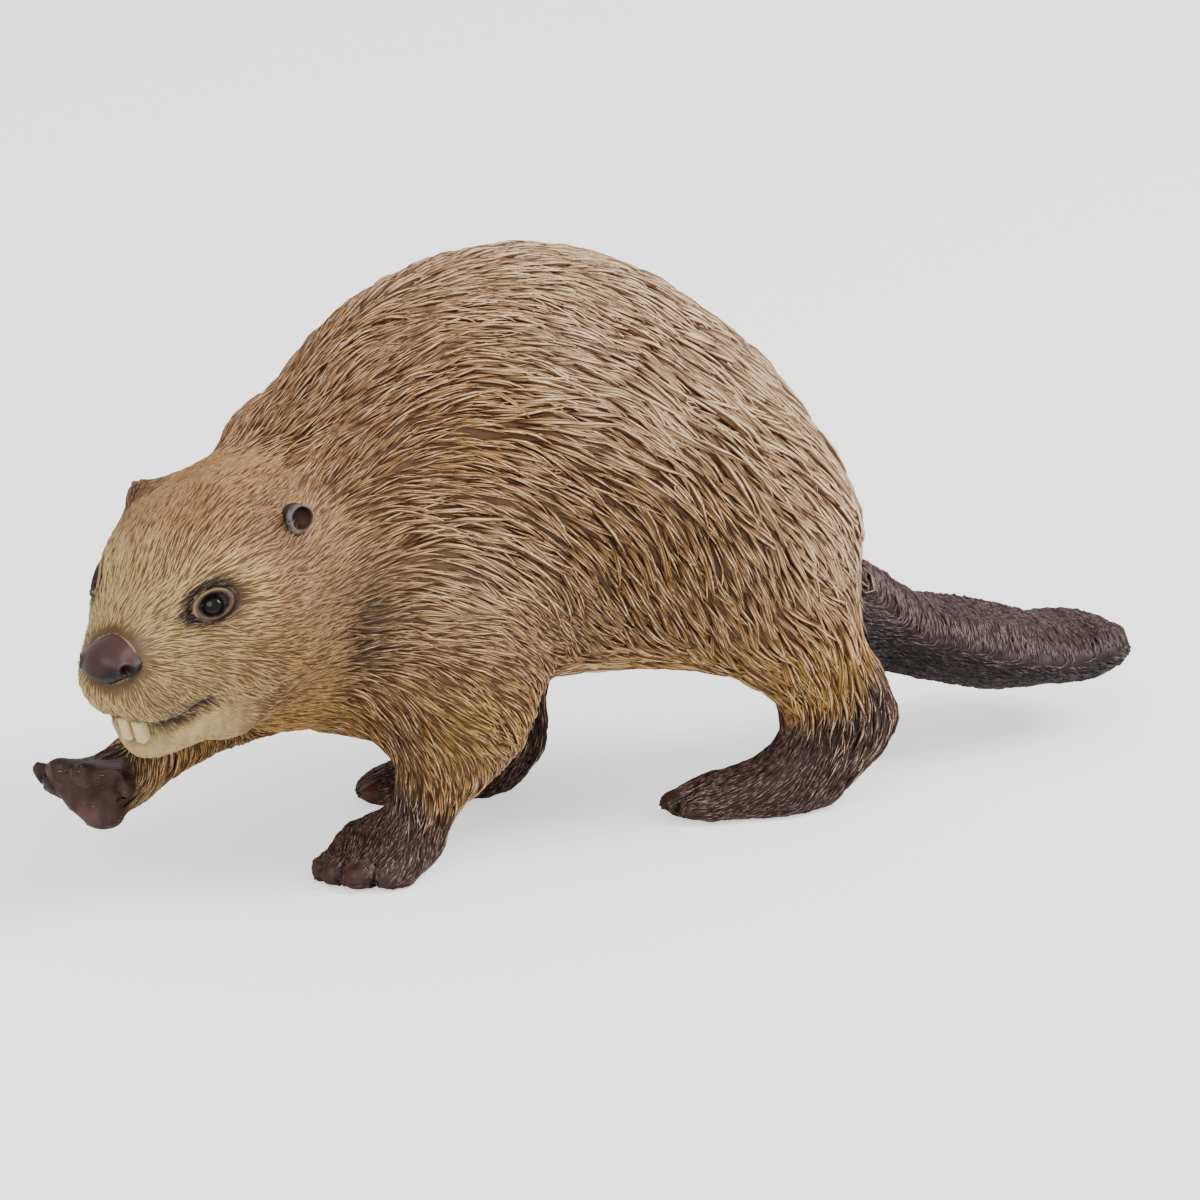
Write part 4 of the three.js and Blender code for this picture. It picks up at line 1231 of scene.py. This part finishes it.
def make_nose(material):
    bm = bmesh.new()
    ellipsoid(bm, HEAD, NOSE, NOSE_RADII, 6)
    mesh = as_mesh(bm, "nose_pad")
    local = (HEAD.local(points_of(mesh)) - NOSE) / NOSE_RADII
    _, s, t = local.T
    pit, ring, nostril_shadow, move = (np.zeros(len(local)) for _ in range(4))
    for side in SIDES:
        away = away_from(local, mirrored((0.46, 0.88, 0.05), side))
        pit += bell(away, 0.15)
        ring += bell(away - 0.27, 0.07)
        # a painted shadow ring just inside each nostril's rim
        nostril_shadow += bell(away - 0.2, 0.05)
        flare = away_from(local, mirrored((0.0, 1.0, -0.12), side))
        move += 0.28 * bell(flare, 0.4)
    move += 0.2 * ring - 0.8 * pit - 0.12 * bell(s, 0.14) * ease(-t, 0.1, 0.7)
    shape = 1 + move / 2.6
    narrow = 1 - 0.5 * ease(-t, 0.05, 0.95) - 0.36 * ease(t, -0.05, 0.9)
    flat = 1 - 0.12 * ease(t, 0.4, 1.0)
    shaped = local * np.stack([shape * (1 - 0.15 * ease(-t, 0, 1)), shape * narrow, shape * flat], 1)
    set_points(mesh, in_box(HEAD.world(shaped * NOSE_RADII + NOSE)))
    smooth_faces(mesh)
    # painted light and shade: the pad lighter on its lit top and near-black on its underside, darker in the
    # nostrils' pits as painted shade, with the painted shadow rings round them
    lit_top = ease(t + 0.1 * np.sin(9 * s), -0.05, 0.45)[:, None]
    paint = linear(20, 10, 10) * (1 - lit_top) + linear(66, 40, 40) * lit_top
    paint = paint * (1 - 0.7 * np.clip(0.5 * pit + nostril_shadow, 0, 1))[:, None]
    edge = (bell(np.abs(s) - 0.86, 0.07) * ease(t, -0.1, 0.2))[:, None]
    paint = paint * (1 - 0.25 * edge) + linear(140, 108, 104) * 0.25 * edge
    tell_finish(mesh, paint, np.clip(0.6 + 0.1 * t - pit + 0.3 * ring, 0, 1))
    finish("nose_pad", mesh, material, "nose", "nose")


TOOTH_SIZES = (1.1, 1.04, 2.2)  # deep, wide, high
TOOTH_EDGE = 0.3


def make_tooth(side, material):
    name = side_name(side)
    bm = bmesh.new()
    shift = HEAD.turned((-0.1, 0.2 if side > 0 else 0.5, 0))
    at = middle(f"incisor_{name}") + shift
    bmesh.ops.create_cube(bm, size=1, matrix=laid_out(HEAD, at, TOOTH_SIZES))
    bmesh.ops.bevel(bm, geom=bm.edges[:], offset=TOOTH_EDGE * MM, segments=4, profile=0.5,
                    affect="EDGES", material=-1)
    mesh = as_mesh(bm, f"tooth_{name}")
    smooth_faces(mesh)
    finish(f"tooth_{name}", mesh, material, "tooth", f"incisor_{name}")


# Half of the ear cup's outline, from its back over its rim to its floor: distance from its axis, and height.
EAR_PROFILE = [(0.7, -1.2), (1.05, -0.6), (1.14, 0.2), (1.16, 0.7), (1.1, 0.95), (0.99, 1.0), (0.88, 0.88),
               (0.82, 0.45), (0.7, 0.05), (0.4, -0.2), (0, -0.28)]


def make_ear(side, material):
    name = side_name(side)
    opens = HEAD.turned(unit(mirrored((0.41, 0.87, 0.26), side)))
    rise = unit(HEAD.turned((0, 0, 1)) - opens * (HEAD.turned((0, 0, 1)) @ opens))
    place = Place(HEAD.world(ear_middle(side)), opens, rise)
    bm = bmesh.new()
    ring = [bm.verts.new((r * MM, 0, h * MM)) for r, h in EAR_PROFILE]
    edges = [bm.edges.new(pair) for pair in zip(ring, ring[1:])]
    bmesh.ops.spin(bm, geom=ring + edges, cent=(0, 0, 0), axis=(0, 0, 1), angle=2 * math.pi, steps=40,
                   use_merge=True)
    bmesh.ops.remove_doubles(bm, verts=bm.verts, dist=SAME_PLACE)
    bmesh.ops.holes_fill(bm, edges=[edge for edge in bm.edges if edge.is_boundary])
    bmesh.ops.recalc_face_normals(bm, faces=bm.faces)
    mesh = as_mesh(bm, f"ear_cup_{name}")
    flat = points_of(mesh)
    r = np.hypot(flat[:, 0], flat[:, 1])
    low_side = ease(-flat[:, 0] / 1.25, -0.2, 1.0)
    up = flat[:, 2] * (1 - 0.45 * low_side * (flat[:, 2] > 0))
    inner = (1 - ease(r, 1.0, 1.15)) * ease(flat[:, 2], -0.4, 0.4)
    aft = flat[:, 1] - 0.2 * side * inner
    points = place.world(np.stack([up - 0.1, flat[:, 0] * 1.12, aft], 1))
    set_points(mesh, points)
    smooth_faces(mesh)
    hollow = ((1 - ease(r, 0.8, 0.95)) * ease(flat[:, 2], -0.4, -0.25))[:, None]
    rim = ease(flat[:, 2], 0.55, 0.9) * ease(r, 0.8, 1.0)
    aft_rim = (rim * ease(-side * flat[:, 1], 0.2, 0.9))[:, None]
    depth = ease(flat[:, 0], -0.6, 0.6)[:, None]
    paint = SMOKE * 0.28 * (1 - hollow) + (PLUM * depth + linear(120, 84, 54) * (1 - depth)) * hollow
    paint = paint * (1 - 0.7 * aft_rim) + linear(132, 98, 76) * 0.7 * aft_rim
    tell_finish(mesh, paint, np.clip(0.5 + rim, 0, 1) * (1 - 0.6 * hollow[:, 0]))
    finish(f"ear_cup_{name}", mesh, material, "ear", f"ear_{name}")


def plain_material(name, colour, roughness, brushwork, depth):
    """A painted surface with no locks and no relief of its own."""
    material, nodes, shader = new_material(name)
    shader.inputs["Roughness"].default_value = roughness
    work = nodes.add("ShaderNodeGroup", node_tree=brushwork)
    work.inputs["Paint"].default_value = (*colour, 1)
    work.inputs["Relief"].default_value = 0.7
    work.inputs["Wash"].default_value = 0.3
    nodes.feed(shader.inputs["Base Color"], work.outputs["Colour"])
    nodes.feed(shader.inputs["Normal"], bump(nodes, work.outputs["Grain"], depth, 0.5))
    return material


def eye_material():
    material, nodes, shader = new_material("eye_gloss")
    tint = nodes.band(nodes.noise(nodes.place(), 900, 2), 0.3, 0.7)
    colour = nodes.blend(tint, (0.006, 0.005, 0.004, 1), (0.016, 0.011, 0.008, 1))
    nodes.feed(shader.inputs["Base Color"], colour)
    shader.inputs["Roughness"].default_value = 0.05
    shader.inputs["Specular IOR Level"].default_value = 0.2
    return material


brushwork = brushwork_group()
SAND, STRAW, MAUVE = (1.0, 0.76, 0.5), (0.9, 0.76, 0.5), (0.62, 0.52, 0.52)
materials = {
    "skin": moulded_material("moulded_skin", brushwork, 0.9, 0.1, SAND, 0, 0.04),
    "coat": moulded_material("moulded_coat", brushwork, 1.0, 0.95, SAND, 2.4, 0.06),
    "face": moulded_material("moulded_face", brushwork, 0.8, 0.6, STRAW, 0, 0.02),
    "feet": moulded_material("moulded_feet", brushwork, 1.0, 0.9, MAUVE, 0, 0.03),
    "tail": moulded_material("moulded_tail", brushwork, 1.0, 0.35, MAUVE, 0, 0.03),
    "ear": moulded_material("moulded_ear", brushwork, 0.8, 0.3, MAUVE, 0, 0.02),
    "nose": moulded_material("nose_paint", brushwork, 0.6, 0.05, MAUVE, 0, 0.01),
    "tooth": plain_material("tooth_paint", linear(206, 184, 134), 0.4, brushwork, 0.01),
    "eye": eye_material(),
}
skin_mesh, skin_owner = make_skin()
coat = Coat(skin_mesh, skin_owner)
lock_size = lock_sizes(coat)
finish("skin", skin_mesh, materials["skin"], "coat", *FLESH)
paint_skin(coat, lock_size[:, 3])
tail_lie(coat)
dress(coat, lock_size, materials)
for side in SIDES:
    make_eye(side, materials["eye"])
    make_tooth(side, materials["tooth"])
    make_ear(side, materials["ear"])
make_nose(materials["nose"])


# ---- studio ---------------------------------------------------------------------------------------
AIM = (0.41, -0.21, 18.4)
CAMERA_TURN, CAMERA_RISE, CAMERA_DISTANCE = -28.0, 18.0, 600.0
LENS = 212.4
SHADE, GLOW, SKY = 0.9, 0.9, 0.9  # the floor's paint, its own light for the camera, the light all round


def make_studio():
    turn, rise = math.radians(CAMERA_TURN), math.radians(CAMERA_RISE)
    away = Vector((math.sin(turn) * math.cos(rise), -math.cos(turn) * math.cos(rise), math.sin(rise)))
    aim = Vector(AIM) * MM
    lens = bpy.data.cameras.new("camera")
    lens.lens = LENS
    lens.sensor_width = 36
    lens.clip_start = 0.01
    lens.clip_end = 20
    camera = add_object("camera", lens)
    camera.location = aim + away * CAMERA_DISTANCE * MM
    camera.rotation_euler = (-away).to_track_quat("-Z", "Y").to_euler()
    bpy.context.scene.camera = camera

    bm = bmesh.new()
    bmesh.ops.create_grid(bm, x_segments=1, y_segments=1, size=4)
    floor = add_object("floor", as_mesh(bm, "floor"))
    paint = bpy.data.materials.new("pale_floor")
    paint.use_nodes = True
    shader = paint.node_tree.nodes["Principled BSDF"]
    shader.inputs["Base Color"].default_value = (SHADE, SHADE, SHADE, 1)
    shader.inputs["Roughness"].default_value = 0.9
    sight = paint.node_tree.nodes.new("ShaderNodeLightPath")
    shader.inputs["Emission Color"].default_value = (1, 1, 1, 1)
    glow = paint.node_tree.nodes.new("ShaderNodeMath")
    glow.operation = "MULTIPLY"
    glow.inputs[1].default_value = GLOW
    paint.node_tree.links.new(sight.outputs["Is Camera Ray"], glow.inputs[0])
    paint.node_tree.links.new(glow.outputs[0], shader.inputs["Emission Strength"])
    floor.data.materials.append(paint)

    world = bpy.data.worlds.new("studio")
    world.use_nodes = True
    world.node_tree.nodes["Background"].inputs["Color"].default_value = (1, 1, 1, 1)
    world.node_tree.nodes["Background"].inputs["Strength"].default_value = SKY
    bpy.context.scene.world = world
    for name, place, size, power in (
        ("key", (0.45, -0.28, 0.52), 0.32, 5.0),
        ("fill", (-0.45, -0.45, 0.5), 0.5, 3.0),
    ):
        light = bpy.data.lights.new(name, "AREA")
        light.shape = "DISK"
        light.size = size
        light.energy = power
        lamp = add_object(name, light)
        lamp.location = place
        lamp.rotation_euler = (aim - lamp.location).to_track_quat("-Z", "Y").to_euler()


make_studio()
